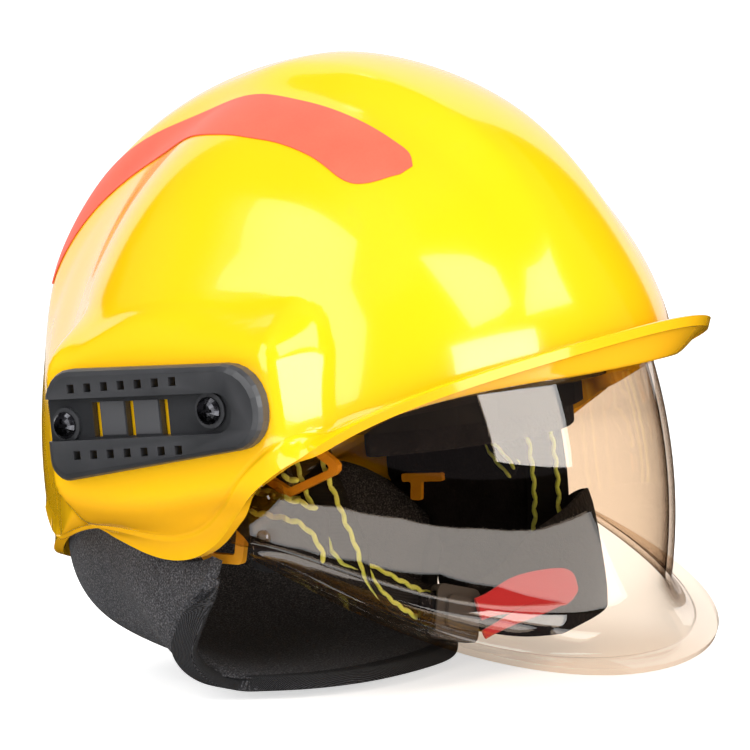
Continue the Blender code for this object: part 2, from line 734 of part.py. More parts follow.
def build_pivot(name, side):
    """Shoulder screw from inside, through the arm's boss, into the bracket."""
    profile = [(0, 0), (0, 5.4), (1.0, 6.2), (2.0, 6.2), (2.0, 3.0), (13.5, 3.0), (13.5, 0)]
    foot = (side * (ARM_IN - 2.0 - GAP), PIVOT_Y, PIVOT_Z)
    screw = lathe(name, profile, foot, (side, 0, 0), screw_metal(), helmet, 20)
    low, high = mirrored(side, ARM_IN - 4.0, ARM_IN - 1.2)
    return cut(screw, [block((low, -4.0, PIVOT_Z - 0.6), (high, 4.0, PIVOT_Z + 0.6))])


def build_bracket(name, side):
    """Plate inside the shell, held by the rail screws, that carries the hinge screw."""
    outline = rounded([(-33, 30, 9), (51, 27, 9), (51, 9, 9), (18, 6, 6), (9.6, -20.3, 5), (-1.6, -20.3, 5),
                       (-6, 8, 5), (-33, 13, 8)])
    low, high = mirrored(side, BRACKET_IN, BRACKET_OUT)
    plate = plate_x(name, outline, low, high, black_plastic(), helmet)
    reach = SEAT_IN - BRACKET_IN - 1
    foot = side * (BRACKET_IN + 1)
    bosses = [rod((foot, y, z), (side, 0, 0), reach, 5.5, 16) for y, z in (SCREW_FRONT, SCREW_REAR)]
    unite(plate, bosses)
    holes = [rod((side * 93, PIVOT_Y, PIVOT_Z), (side, 0, 0), 8, 3.0 + GAP, 20)]
    for y, z in (SCREW_FRONT, SCREW_REAR):
        holes.append(rod((side * 93, y, z), (side, 0, 0), 20, SCREW_RADIUS + GAP))
    return cut(plate, holes)


# ---------------------------------------------------------------- liner, suspension and head fit

def oval(angle, length, side):
    """Radius of the head-shaped plan at an angle, from its half length and half width."""
    along = (np.abs(np.cos(angle)) / length) ** HEAD_POWER
    across = (np.abs(np.sin(angle)) / side) ** HEAD_POWER
    return (along + across) ** (-1 / HEAD_POWER)


def liner_surface(angle, level, inset):
    """Liner dome: level 0 crown, 1 lower edge; inset moves it in evenly."""
    back = (1 - np.cos(angle)) / 2
    front_axis = LINER_FRONT - inset * 0.75
    rear_axis = LINER_REAR - inset
    length = front_axis + (rear_axis - front_axis) * smooth(back, 0.35, 0.65)
    side = LINER_SIDE - inset * 0.6
    plan = oval(angle, length, side)
    edge_z = ring(LINER_EDGE_Z)(angle)
    base_z = 8.0
    top = LINER_TOP - inset * 1.6
    low = np.arcsin(np.clip((edge_z - base_z) / (top - base_z), -0.5, 0.5))
    arc = math.pi / 2 - (math.pi / 2 - low) * level
    radius = plan * np.cos(arc) ** 0.95
    z = base_z + (top - base_z) * np.sin(arc)
    return np.stack([-radius * np.sin(angle), -radius * np.cos(angle), z], -1)


def build_liner():
    angle = np.linspace(-math.pi, math.pi, 33)[:-1]
    level = np.linspace(0, 1, 8)
    angles, levels = np.meshgrid(angle, level)
    outer = liner_surface(angles, levels, 0.0)
    inner = liner_surface(angles, levels, 10.0)
    return thick_sheet("impact_liner", outer, inner, black_foam(), helmet, wrap=True, pole=True)


def band_sheet(name, start, stop, inset, thick, low, high, finish, cols=33, parent=None):
    """Upright band round the head between two angles, at an inset from the liner's outer plan."""
    angle = np.radians(np.linspace(start, stop, cols))
    rows = np.array([0.0, 1.0])
    angles, heights = np.meshgrid(angle, rows)
    z = high + (low - high) * heights

    def face(depth):
        back = (1 - np.cos(angles)) / 2
        front_axis = LINER_FRONT - 4 - depth
        rear_axis = LINER_REAR - 6 - depth
        length = front_axis + (rear_axis - front_axis) * smooth(back, 0.35, 0.65)
        side = LINER_SIDE - 1 - depth
        plan = oval(angles, length, side)
        return np.stack([-plan * np.sin(angles), -plan * np.cos(angles), z], -1)

    return thick_sheet(name, face(inset), face(inset + thick), finish, parent or helmet, sharp=50.0)


def build_dome_pad(name, inset, thick, reach, finish):
    """Round pad under the crown of the liner."""
    angle = np.radians(np.linspace(-180, 180, 25))[:-1]
    level = np.linspace(0, reach, 7)
    angles, levels = np.meshgrid(angle, level)
    outer = liner_surface(angles, levels, inset)
    inner = outer - [0, 0, thick]
    inner[-1] = outer[-1] - [0, 0, thick * 0.7]
    return thick_sheet(name, outer, inner, finish, helmet, wrap=True, pole=True)


def frame_loop(name, corners, hole, x_low, x_high, side):
    """A flat plastic loop: outline with one window."""
    low, high = mirrored(side, x_low, x_high)
    loop = plate_x(name, rounded(corners, 3), low, high, orange_plastic(), helmet)
    low, high = mirrored(side, x_low - 2, x_high + 2)
    window = plate_x("cutter", rounded(hole, 2), low, high, orange_plastic(), helmet)
    return cut(loop, [window])


def build_front_loop(name, side):
    corners = [(-21, 8.5, 2), (-35, 8.5, 3), (-52.5, -4.5, 3), (-26, -14.5, 3), (-7, -3, 2), (-7, 8.5, 2)]
    hole = [(-23, 4.5, 1), (-35, 4.0, 1), (-46.5, -4.0, 1), (-26.5, -11, 1), (-11, -2, 1), (-11, 4.5, 1)]
    return frame_loop(name, corners, hole, LOOP_IN, LOOP_OUT, side)


def build_rear_loop(name, side):
    """Loop behind the right ear, and the T-shaped strap anchor behind the left one."""
    if side > 0:
        outline = rounded([(8, -27, 1), (28, -27, 1), (28, -30.5, 1), (23.5, -30.5, 1), (24.5, -38, 1),
                           (19.5, -38.5, 1), (18.5, -30.5, 1), (8, -30.5, 1)], 3)
        return plate_x(name, outline, REAR_LOOP_IN, REAR_LOOP_OUT, orange_plastic(), helmet)
    corners = [(1, 4, 2), (-3, -28, 2), (0, -39.5, 2), (17, -38.5, 2), (29, -20, 3), (35, 4, 2)]
    hole = [(5, -2, 1), (1, -27, 1), (3, -35.8, 1), (15, -35, 1), (25, -18, 1), (30, -2, 1)]
    return frame_loop(name, corners, hole, REAR_LOOP_IN, REAR_LOOP_OUT, side)


def build_ear_pad(name, side):
    """Plush pad beside the ear, stepped round the front loop."""
    outline = rounded([(-43, -17, 5), (-7, -17, 5), (-2, 2, 6), (36, 2, 8), (34, -23, 8),
                       (11, -27, 5), (7, -42, 8), (-41, -42, 9)], 4)
    low, high = mirrored(side, EAR_PAD_IN, EAR_PAD_OUT)
    return plate_x(name, outline, low, high, black_fleece(), helmet)


# ---------------------------------------------------------------- chin strap

def build_front_web(name, side):
    """Webbing from the front loop down to the joint with the rear web and on towards the chin."""
    if side < 0:
        knots = [(-77.2, -33, 5), (-77.2, -38, -12), (-76.8, -44, -28), (-73.5, -48, -40), (-61, -52, -51),
                 (-44, -53.5, -60.5), (-33, -54.5, -65)]
        sides = [(0, 0.97, 0.2), (0, 0.97, 0.25), (0, 0.92, 0.4), (-0.1, 0.75, 0.6), (0.2, 0.4, 0.9),
                 (0.3, 0.2, 0.95), (0.25, 0.1, 0.97)]
        width = WEB_WIDTH
    else:
        knots = [(77.2, -38, 5), (77.2, -40, -12), (77.2, -41, -30), (75.5, -41, -46), (71, -41, -58)]
        sides = [(0.0, -1, 0.0)] * 5
        width = WEB_WIDTH
    return ribbon(name, knots, sides, width, WEB_THICK, webbing(), helmet)


def build_rear_web(name, side):
    """Webbing from the rear loop forward to the front web, sewn to its inner side."""
    if side < 0:
        knots = [(-73.8, 8, -14), (-74.0, -8, -16), (-74.0, -24, -19), (-73.4, -37, -22.5)]
    else:
        knots = [(73.6, 1, -1), (74.4, -13, -13), (74.8, -27, -28)]
    sides = [(0, 0.4, side * 1.0)] * len(knots)
    return ribbon(name, knots, sides, 14.0, WEB_THICK, webbing(), helmet)


def build_chin_pad():
    """Padded chin cup: narrow at the buckle, wide round the chin and back along the left cheek."""
    knots = [(-22, -60, -66), (-4, -73, -64), (18, -82, -59), (40, -84, -56), (60, -79, -54), (75, -64, -54),
             (81, -48, -59), (81, -12, -61.5)]
    sides = [(0.1, 0.1, 1), (0.1, 0.1, 1), (0, 0.15, 1), (0, 0.15, 1), (0, 0.1, 1)] + [(0, 0, 1)] * 3
    path = curve_through(knots, 4)
    width = np.interp(np.linspace(0, 1, len(path)), (0, 0.22, 0.5, 0.8, 1.0), (15, 40, 46, 35, 35))
    return ribbon("chin_pad", knots, sides, width, 3.0, black_fleece(), helmet)


def buckle_plate(name, corners, thick, start, finish, parent):
    """A plate of the buckle: outline along and across it, from a height out of its middle."""
    return plate_at(name, corners, thick, BUCKLE_AT, BUCKLE_ALONG, BUCKLE_OUT, finish, parent, start)


def build_buckle():
    """Quick-release buckle at the near end of the chin pad: body, tongue and release lever."""
    outline = rounded([(-12, -10, 3), (10, -10, 3), (10, 10, 3), (-12, 10, 3)], 3)
    body = buckle_plate("buckle_body", outline, 4.0, -2.0, black_plastic(), helmet)
    outline = [(-14, -7), (4, -7), (4, 7), (-14, 7)]
    cut(body, [buckle_plate("cutter", outline, 2.2, -1.1, black_plastic(), helmet)])
    outline = rounded([(-19, -6, 2), (3, -6, 2), (3, 6, 2), (-19, 6, 2)], 3)
    buckle_plate("buckle_tongue", outline, 1.5, -0.75, screw_metal(), helmet)
    outline = rounded([(-8, -6, 2), (8, -6, 2), (8, 6, 2), (-8, 6, 2)], 3)
    buckle_plate("release_lever", outline, 1.6, 2.4, black_plastic(), lever_axis)


def plate_at(name, outline, thick, point, along, out, finish, parent, start):
    """A plate with its outline in (along, across), standing from start to start + thick along out."""
    along = Vector(along).normalized()
    out = Vector(out)
    out = (out - along * out.dot(along)).normalized()
    across = out.cross(along)
    count = len(outline)
    points = []
    for height in (start, start + thick):
        points += [Vector(point) + along * u + across * v + out * height for u, v in outline]
    faces = [list(range(count)), list(range(2 * count - 1, count - 1, -1))]
    for place in range(count):
        nxt = (place + 1) % count
        faces.append([place, place + count, nxt + count, nxt])
    made = new_object(name, points, faces, finish, parent)
    face_outwards(made)
    return made


def build_pull_tab():
    """Red fabric tab that pulls the release lever."""
    knots = [(-24, -71.5, -67.5), (-10, -80, -66), (6, -90, -62), (24, -98, -56)]
    sides = [(0, 0.15, 1)] * 4
    return ribbon("pull_tab", knots, sides, 14.0, 1.6, red_fabric(), lever_axis)


# ---------------------------------------------------------------- nape ratchet

def build_ratchet():
    """Housing at the nape, with a knob whose pinion drives the two tails of the headband."""
    at = (0, RATCHET_Y, RATCHET_Z)
    black = black_plastic()
    outline = rounded([(-26, -12, 6), (26, -12, 6), (26, 12, 6), (-26, 12, 6)], 3)
    housing = plate_y("ratchet_housing", outline, RATCHET_Y, RATCHET_Y + 9, RATCHET_Z, black, helmet)
    outline = [(-40, -9), (40, -9), (40, 9), (-40, 9)]
    tunnel = plate_y("cutter", outline, RATCHET_Y + 2, RATCHET_Y + 7, RATCHET_Z, black, helmet)
    bore = lathe("cutter", [(4, 3.9), (12, 3.9)], at, (0, 1, 0), black, helmet, 24)
    cut(housing, [tunnel, bore])
    profile = [(2.4, 0), (2.4, 3.84), (9.3, 3.84), (9.3, 11), (10.8, 11.5), (17.3, 11), (18.3, 10), (18.3, 0)]
    knob = lathe("ratchet_knob", profile, at, (0, 1, 0), black, knob_axis, 24)
    grips = []
    for number in range(12):
        turn = 2 * math.pi * number / 12
        grip = (12.2 * math.cos(turn), RATCHET_Y + 10.0, RATCHET_Z + 12.2 * math.sin(turn))
        grips.append(rod(grip, (0, 1, 0), 9.0, 1.6, 8))
    cut(knob, grips)


def plate_y(name, outline, y_low, y_high, z_centre, finish, parent):
    """A plate with its outline in (x, z) about a height, between two places along Y."""
    count = len(outline)
    points = [(x, y_low, z_centre + z) for x, z in outline] + [(x, y_high, z_centre + z) for x, z in outline]
    faces = [list(range(count)), list(range(2 * count - 1, count - 1, -1))]
    for place in range(count):
        nxt = (place + 1) % count
        faces.append([place, place + count, nxt + count, nxt])
    made = new_object(name, points, faces, finish, parent)
    face_outwards(made)
    return made


def build_tail(name, side, axis):
    """Toothed end of the headband; the right one runs above the pinion and the left one below."""
    level = TAIL_TOP - TAIL_RACK if side < 0 else -TAIL_TOP
    outline = [(side * -14, level), (side * 38.6, level), (side * 38.6, -TAIL_TOP), (side * 50, -TAIL_TOP),
               (side * 50, TAIL_TOP), (side * 38.6, TAIL_TOP), (side * 38.6, level + TAIL_RACK),
               (side * -14, level + TAIL_RACK)]
    outline = [corner for place, corner in enumerate(outline) if corner != outline[place - 1]]
    if side > 0:
        outline = outline[::-1]
    return plate_y(name, outline, RATCHET_Y + 3.2, RATCHET_Y + 5.2, RATCHET_Z, black_plastic(), axis)


# ---------------------------------------------------------------- neck curtain

def curtain_rim(part):
    """Top edge of the curtain, along the inside of the shell's edge, part 0 right to 1 left."""
    turn = math.radians(CURTAIN_REACH) * (2 * part - 1)
    angle = np.where(turn < 0, math.pi + turn, turn - math.pi)
    edge = shell_surface(angle, np.full_like(angle, 2.0))
    radial = edge * [1, 1, 0]
    radial /= np.linalg.norm(radial, axis=-1)[..., None]
    lift = 7.5 * smooth(np.abs(np.degrees(angle)), 105, 132) - 2.5
    return edge - radial * CURTAIN_TOP_IN + lift[..., None] * np.array([0, 0, 1.0])


def curtain_hem(part):
    """Free edge of the curtain: down in front of one ear, along the ground and up to the other."""
    knots = [(-85, 9, -41), (-83.5, 10, -50), (-83, 16, -59), (-78, 26, -74), (-68, 20, -87),
             (-60, -6, -88.8), (-40, -28, -88.8), (-5, -36, -88.8), (30, -30, -88.8), (54, -8, -88.8),
             (67, 16, -87), (78, 26, -74), (83, 16, -59), (83.5, 10, -50), (85, 9, -41)]
    path = curve_through(knots, 12)
    length = np.concatenate([[0], np.cumsum(np.linalg.norm(np.diff(path, axis=0), axis=1))])
    length /= length[-1]
    return np.stack([np.interp(part, length, path[:, axis]) for axis in range(3)], -1)


def curtain_face(part, depth):
    """Middle face of the curtain between its top edge (depth 0) and its hem (depth 1)."""
    top = curtain_rim(part)
    hem = curtain_hem(part)
    middle = np.sin(math.pi * part)[..., None]
    outward = top * [1, 1, 0]
    outward /= np.linalg.norm(outward, axis=-1)[..., None]
    belly = top + outward * (7 - 3 * middle) + [0, 0, 1] * (-26 * middle - 12)
    foot = hem * (1 - 0.62 * middle) + (top + outward * 2) * 0.62 * middle
    foot = foot * [1, 1, 0] + [0, 0, 1] * hem
    depth = depth[..., None]
    start, end = (1 - depth) ** 3, depth ** 3
    near, far = 3 * (1 - depth) ** 2 * depth, 3 * (1 - depth) * depth ** 2
    return start * top + near * belly + far * foot + end * hem


def build_curtain():
    part = np.linspace(0.0, 1.0, 31)
    depth = np.linspace(0.0, 1.0, 10)
    parts, depths = np.meshgrid(part, depth)
    face = curtain_face(parts, depths)
    step = 1e-3
    ahead = curtain_face(np.clip(parts + step, 0, 1), depths)
    behind = curtain_face(np.clip(parts - step, 0, 1), depths)
    below = curtain_face(parts, np.clip(depths + step, 0, 1))
    above = curtain_face(parts, np.clip(depths - step, 0, 1))
    normal = np.cross(ahead - behind, below - above)
    normal /= np.maximum(np.linalg.norm(normal, axis=-1), 1e-9)[..., None]
    outer = face + normal * CURTAIN_THICK / 2
    inner = face - normal * CURTAIN_THICK / 2
    return thick_sheet("neck_curtain", outer, inner, grey_felt(), helmet, sharp=60.0)


# ---------------------------------------------------------------- assembly

def build_side(side, word):
    """Everything that comes once on each side of the head."""
    build_stripe("reflective_stripe_" + word, side)
    build_rail("side_rail_" + word, side)
    build_rail_screw("rail_screw_" + word + "_front", side, SCREW_FRONT)
    build_rail_screw("rail_screw_" + word + "_rear", side, SCREW_REAR)
    build_bracket("visor_bracket_" + word, side)
    build_pivot("pivot_screw_" + word, side)
    build_washer("friction_washer_" + word, side)
    build_arm("visor_arm_" + word, side)
    build_rivet("arm_rivet_" + word + "_upper", side, RIVETS[0])
    build_rivet("arm_rivet_" + word + "_lower", side, RIVETS[1])
    build_front_loop("front_loop_" + word, side)
    build_rear_loop("rear_loop_" + word, side)
    build_front_web("front_web_" + word, side)
    build_rear_web("rear_web_" + word, side)
    build_ear_pad("ear_pad_" + word, side)
    knots = [(side * 67.0, 43, 14), (side * 62.5, 58, 0), (side * 55, 71, -12), (side * 46, 80, -20),
             (side * 34, 82.8, -24)]
    ribbon("nape_arm_" + word, knots, [(0, 0.2, 1)] * 5, 11.0, 1.4, black_plastic(), helmet)


def build_all():
    build_shell()
    build_lens()
    build_liner()
    for side, word in SIDES:
        build_side(side, word)
    band_sheet("suspension_ring", -178, 178, 6.2, 1.4, 6, 15, black_plastic(), 37)
    band_sheet("headband", -122, 122, 8.2, 1.4, 6.2, 22, black_plastic(), 31)
    band_sheet("brow_pad", -52, 52, 10.4, 5.0, -3, 19, black_fleece(), 15)
    build_dome_pad("crown_pad", 14.0, 7.0, 0.45, black_fleece())
    build_chin_pad()
    build_buckle()
    build_pull_tab()
    build_ratchet()
    build_tail("headband_tail_right", -1, tail_right_axis)
    build_tail("headband_tail_left", 1, tail_left_axis)
    band_sheet("nape_pad", 150, 210, 39.8, 4.0, -40, -8, black_fleece(), 9)
    build_curtain()


clear_scene()
helmet = new_empty("helmet", (0.0, 0.0, 0.0))
helmet.location = (0.0, -CENTRE_Y * MM, -GROUND_Z * MM)
visor_axis = new_empty("visor_axis", (0.0, PIVOT_Y, PIVOT_Z), helmet)
knob_axis = new_empty("knob_axis", (0.0, RATCHET_Y, RATCHET_Z), helmet)
tail_right_axis = new_empty("tail_right_axis", (-20.0, RATCHET_Y + 4.2, RATCHET_Z), helmet)
tail_left_axis = new_empty("tail_left_axis", (20.0, RATCHET_Y + 4.2, RATCHET_Z), helmet)
buckle_along = Vector(BUCKLE_ALONG).normalized()
buckle_out = (Vector(BUCKLE_OUT) - buckle_along * buckle_along.dot(Vector(BUCKLE_OUT))).normalized()
lever_hinge = Vector(BUCKLE_AT) + buckle_along * LEVER_HINGE[0] + buckle_out * LEVER_HINGE[1]
lever_axis = new_empty("lever_axis", tuple(lever_hinge), helmet)
build_all()
bpy.context.view_layer.update()
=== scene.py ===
"""Looks of the firefighting helmet: fine surfaces, fabric, stitching, materials, light and camera.

Shapes are worked out in millimetres in the head frame (+Z up, the wearer faces -Y, the
wearer's right is -X) and place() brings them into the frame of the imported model.
"""

import json
import math
import random

import bmesh
import bpy
import numpy as np
from mathutils import Matrix, Vector


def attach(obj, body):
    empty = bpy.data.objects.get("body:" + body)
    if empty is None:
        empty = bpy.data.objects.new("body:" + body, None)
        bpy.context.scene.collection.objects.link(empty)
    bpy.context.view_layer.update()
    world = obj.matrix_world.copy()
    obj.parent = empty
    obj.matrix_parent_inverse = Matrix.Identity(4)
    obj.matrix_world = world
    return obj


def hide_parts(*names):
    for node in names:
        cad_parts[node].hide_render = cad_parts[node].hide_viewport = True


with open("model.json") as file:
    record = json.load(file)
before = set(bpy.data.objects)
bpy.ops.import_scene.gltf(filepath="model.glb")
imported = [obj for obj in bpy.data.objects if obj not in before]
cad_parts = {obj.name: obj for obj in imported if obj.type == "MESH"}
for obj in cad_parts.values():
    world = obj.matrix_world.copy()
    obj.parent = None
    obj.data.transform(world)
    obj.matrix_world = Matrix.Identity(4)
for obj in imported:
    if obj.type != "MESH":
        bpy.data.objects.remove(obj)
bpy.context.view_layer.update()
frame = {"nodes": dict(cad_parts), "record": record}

MM = 0.001
HEAD_LIFT = np.array([0.0, 3.0, 91.0])  # the head frame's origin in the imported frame

# Outer shell: even rings of values from brow to nape
SHELL_WALL = 3.0
SHELL_TOP = 140.0
APEX_SHIFT_Y = -8.9
DOME_POWER = (1.63, 1.92, 2.17)
WAIST_RADIUS = (130.5, 125.5, 114.8, 112.7, 115.7, 120.7, 137.2)
WAIST_Z = (25.6, 25.6, 13.5, 0.5, -12.8, -24.9, 4.9)
EDGE_RADIUS = (144.0, 141.0, 125.0, 96.3, 98.6, 115.7, 138.0)
EDGE_Z = (36.0, 29.4, 7.4, -29.8, -29.9, -30.0, -47.4)
EDGE_ANGLE = (15.0, 20.0, 45.0, 82.0, 84.0, 75.0, 70.0)
BAND_WIDTH = (4.5, 5.5, 8.0, 9.0, 10.0, 14.0, 18.0)
BAND_RELIEF = 0.9
BAND_BLEND = 1.3
BAND_CREASE = 0.25
CREASE_STEPS = (-1.4, -0.9, -0.45, 0.0, 0.45, 0.9, 1.4)
CREASE_REACH = 1.9
CREST_HEIGHT = 6.0
CREST_FLAT = 20.0
CREST_FOOT = 42.0
CREST_AXIS_Z = 20.0
BULGE_HEIGHT = 3.5
BULGE_Y = 2.0
BULGE_Z = 12.0
BULGE_HALF_LENGTH = 58.0
BULGE_RISE = 50.0
SEAT_X = 114.8
SEAT_Y = 3.5
SEAT_HALF_LENGTH = 46.0
SEAT_LOW = -3.0
SEAT_HIGH = 35.0
SEAT_BLEND_ALONG = 20.0
SEAT_BLEND_ABOVE = 28.0
SEAT_BLEND_BELOW = 16.0
STRIPE_TOP = 0.55  # its faces stand over the shell
STRIPE_FOOT = 0.05

# Face shield
LENS_WALL = 2.4
LENS_INDEX = 1.52  # of refraction
LENS_TOP_Z = 30.0
LENS_TOP_DROP = 42.0  # of the top edge, from brow to ear
LENS_FRONT = 130.3
LENS_SIDE = 94.5
LENS_BARREL_Z = -22.0
LENS_BARREL = 0.0030
LENS_END = math.radians(80.0)
RIM_RADIUS = (139.0, 133.5, 111.0, 94.5)
RIM_Z = (-86.0, -76.0, -48.5, -31.0)
RIM_TURN = math.radians(62.0)
RIM_DEPTH = 4.0
RIM_DEPTH_AT_BROW = 18.0  # added to it in front
GROOVE_AT = 1.71  # place across the rim, 1 foot to 2 edge
GROOVE_DEPTH = 0.9
GROOVE_WIDTH = 0.025

# Neck curtain
CURTAIN_THICK = 4.6
CURTAIN_REACH = 85.0
CURTAIN_TOP_IN = 8.6
CURTAIN_FOLD = 1.1  # height of its soft waves
BINDING_REACH = 8.5
BINDING_STAND = 0.5  # over the curtain's faces

# Straps, stitches and tab
WEB_THICK = 1.5
STITCH_LIFT = 1.0
STITCH_PITCH = 3.6
STITCH_RADIUS = 1.1
STITCH_FLAT = 0.7
STITCH_SWAY = 0.8
STITCH_OVERLAP = 0.14  # of the pitch, at either end
CHIN_THICK = 3.0
TAB_THICK = 1.6
TAB_FOLD_THICK = 1.2

# Studio, in metres; softboxes as (strength, corners), corners as (azimuth, elevation) round the helmet
CARD_DISTANCE = 1.3
CARD_CENTRE_Z = 0.1
SOFTBOXES = {
    "softbox_side": (2.8, [(-124, 62), (-78, 56), (-80, 42), (-72, 30), (-73, 3), (-98, 2), (-110, 30),
                           (-112, 48)]),
    "softbox_front": (4.0, [(-40, 51), (-10, 48), (-1, 42), (-4, 30), (-12, 27), (-26, 24)]),
    "softbox_left": (4.0, [(14, 38), (27, 37), (25, 24), (0, 25), (3, 30)]),
    "softbox_low": (7.5, [(-37, 18), (1, 20), (-3, -2), (-36, -1)]),
    "strip_behind": (2.0, [(125, 78), (165, 66), (155, 30), (135, 36)]),
    "backdrop_card": (0.9, [(75, 65), (130, 75), (178, 65), (172, 0), (80, 0)]),
}
LOW_CARD = [(-0.80, 0.32), (-0.76, 0.25), (-0.73, -0.05), (-0.58, -0.23), (-0.32, -0.345), (-0.15, -0.37),
            (0.01, -0.47), (0.03, -0.15), (-0.05, -0.175), (-0.13, -0.19), (-0.244, -0.177), (-0.405, -0.08),
            (-0.50, 0.05), (-0.56, 0.24)]
LOW_CARD_Z = 0.0008
LOW_CARD_GLOW = 3.0
LAMP_DISTANCE = 1.56
# Direction, size and power
LAMPS = {
    "key_light": ((-70, 58), 1.0, 6.5),
    "top_light": ((20, 84), 1.2, 3.5),
    "back_light": ((-150, 35), 1.0, 4.5),
}
WORLD_FILL = (0.27, 0.27, 0.27)
WORLD_MIRRORED = (0.075, 0.07, 0.08)
FLOOR_GLOW = 0.6  # added for the camera only
FLOOR_PROFILE = [(-1.5, 0.0), (0.9, 0.0), (1.3, 0.03), (1.6, 0.16), (1.8, 0.42), (1.85, 2.6)]
FLOOR_HALF_WIDTH = 4.0
FLOOR_DROP = 0.0003

# Camera: degrees, metres, and the lens in millimetres
CAMERA_HEADING = (-55.57, 5.28)
CAMERA_ROLL = -5.34
CAMERA_DISTANCE = 1.0746
CAMERA_LENS = 132.7
CAMERA_SHIFT = (0.0332, 0.0747)

# Pads: faces and corners (y, z, radius) of the ear pads; the left one hangs down to the chin piece
EAR_PAD_FACES = (78.8, 82.0)
EAR_PAD_CORNERS = {
    "right": [(-43, -17, 5), (-7, -17, 5), (-2, 2, 6), (36, 2, 8), (34, -23, 8), (2, -24, 5), (-6, -31, 4),
              (-7, -42, 5), (-41, -42, 9)],
    "left": [(-46, 0, 5), (-20, 14, 6), (38, 18, 6), (38, -30, 8), (20, -46, 8), (17, -80, 8), (-30, -80, 6),
             (-46, -58, 5)],
}
PAD_FACE_X = -83.4  # stitched face of the right ear pad
PUFF_VOXEL = 1.4
PUFF_PRESSURE = 4.0
PUFF_FRAMES = 20
PUFF_LIMIT = 1.2
HARNESS = ("suspension_ring", "headband", "nape_arm")
SIDES = (("right", -1), ("left", 1))


# ---- mesh helpers

def place(points):
    """Head-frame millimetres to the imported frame's metres."""
    return (np.asarray(points, float) + HEAD_LIFT) * MM


def ring(values, reach=math.pi):
    """Smooth even function of the angle through values at equal steps from brow to reach, then mirrored."""
    steps = np.linspace(0.0, reach, len(values))
    order = np.arange(len(values)) * math.pi / reach
    weights = np.linalg.solve(np.cos(np.outer(steps, order)), np.array(values, float))
    return lambda angle: np.cos(np.multiply.outer(angle, order)) @ weights


def smooth(value, low, high):
    """0 below low, 1 above high and a soft step between."""
    part = np.clip((value - low) / (high - low), 0.0, 1.0)
    return part ** 3 * (part * (6 * part - 15) + 10)


def unit(vectors):
    """Vectors scaled to length one."""
    length = np.linalg.norm(vectors, axis=-1)
    return vectors / np.maximum(length, 1e-9)[..., None]


def cubic_weights(part):
    """Weights of the four points of a cubic curve."""
    back = 1 - part
    return back ** 3, 3 * back ** 2 * part, 3 * back * part ** 2, part ** 3


def distance_along(path):
    """Distance of each point of a path from its start."""
    return np.concatenate([[0], np.cumsum(np.linalg.norm(np.diff(path[:, :3], axis=0), axis=1))])


def direction(azimuth, elevation):
    """Unit vector from the helmet: azimuth 0 in front, growing to the wearer's left, in degrees."""
    turn = math.radians(azimuth)
    rise = math.radians(elevation)
    return Vector((math.sin(turn) * math.cos(rise), -math.cos(turn) * math.cos(rise), math.sin(rise)))


def add_object(name, data):
    """A new object in the scene."""
    made = bpy.data.objects.new(name, data)
    bpy.context.scene.collection.objects.link(made)
    return made


def settle(piece, body, node=None):
    """Put a piece on its body and in the place of its CAD node."""
    if node:
        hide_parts(node)
    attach(piece, body)


def new_mesh(name, points, faces, finish, sharp=40.0):
    """One closed mesh object from head-frame points."""
    mesh = bpy.data.meshes.new(name)
    mesh.from_pydata(place(points).tolist(), [], faces)
    mesh.materials.append(finish)
    made = add_object(name, mesh)
    face_outwards(made)
    mesh.shade_smooth()
    mesh.set_sharp_from_angle(angle=math.radians(sharp))
    return made


def face_outwards(item):
    """Weld a mesh and turn its faces outwards."""
    cage = bmesh.new()
    cage.from_mesh(item.data)
    bmesh.ops.remove_doubles(cage, verts=cage.verts, dist=1e-7)
    bmesh.ops.recalc_face_normals(cage, faces=cage.faces)
    if cage.calc_volume(signed=True) < 0:
        bmesh.ops.reverse_faces(cage, faces=cage.faces)
    cage.to_mesh(item.data)
    cage.free()


def sheet(name, outer, inner, finish, wrap=False, pole=False, sharp=40.0, bevel=0.0):
    """A closed solid between two grids of points, rows by columns."""
    rows, cols = outer.shape[:2]
    count = rows * cols
    index = np.arange(count).reshape(rows, cols)
    if pole:
        index[0, :] = index[0, 0]
    both = (index, index + count)
    points = np.concatenate([outer.reshape(-1, 3), inner.reshape(-1, 3)])
    step = [(col, (col + 1) % cols) for col in range(cols if wrap else cols - 1)]
    faces = []
    for side in both:
        for row in range(rows - 1):
            for col, nxt in step:
                faces.append((side[row, col], side[row + 1, col], side[row + 1, nxt], side[row, nxt]))
    for col, nxt in step:
        faces.append((both[0][-1, col], both[1][-1, col], both[1][-1, nxt], both[0][-1, nxt]))
        if not pole:
            faces.append((both[0][0, nxt], both[1][0, nxt], both[1][0, col], both[0][0, col]))
    if not wrap:
        for row in range(rows - 1):
            for col in (0, -1):
                faces.append((both[0][row, col], both[1][row, col], both[1][row + 1, col],
                              both[0][row + 1, col]))
    clean = []
    for face in faces:
        kept = [int(corner) for spot, corner in enumerate(face) if corner not in face[:spot]]
        if len(kept) > 2:
            clean.append(kept)
    used = sorted({corner for face in clean for corner in face})
    renumber = {old: new for new, old in enumerate(used)}
    clean = [[renumber[corner] for corner in face] for face in clean]
    made = new_mesh(name, points[used], clean, finish, sharp)
    if bevel:
        add_bevel(made, bevel)
    return made


def add_bevel(item, width, segments=3, angle=50.0):
    """Round the sharp edges of a piece."""
    step = item.modifiers.new("edges", "BEVEL")
    step.width = width * MM
    step.segments = segments
    step.limit_method = "ANGLE"
    step.angle_limit = math.radians(angle)
    step.harden_normals = False


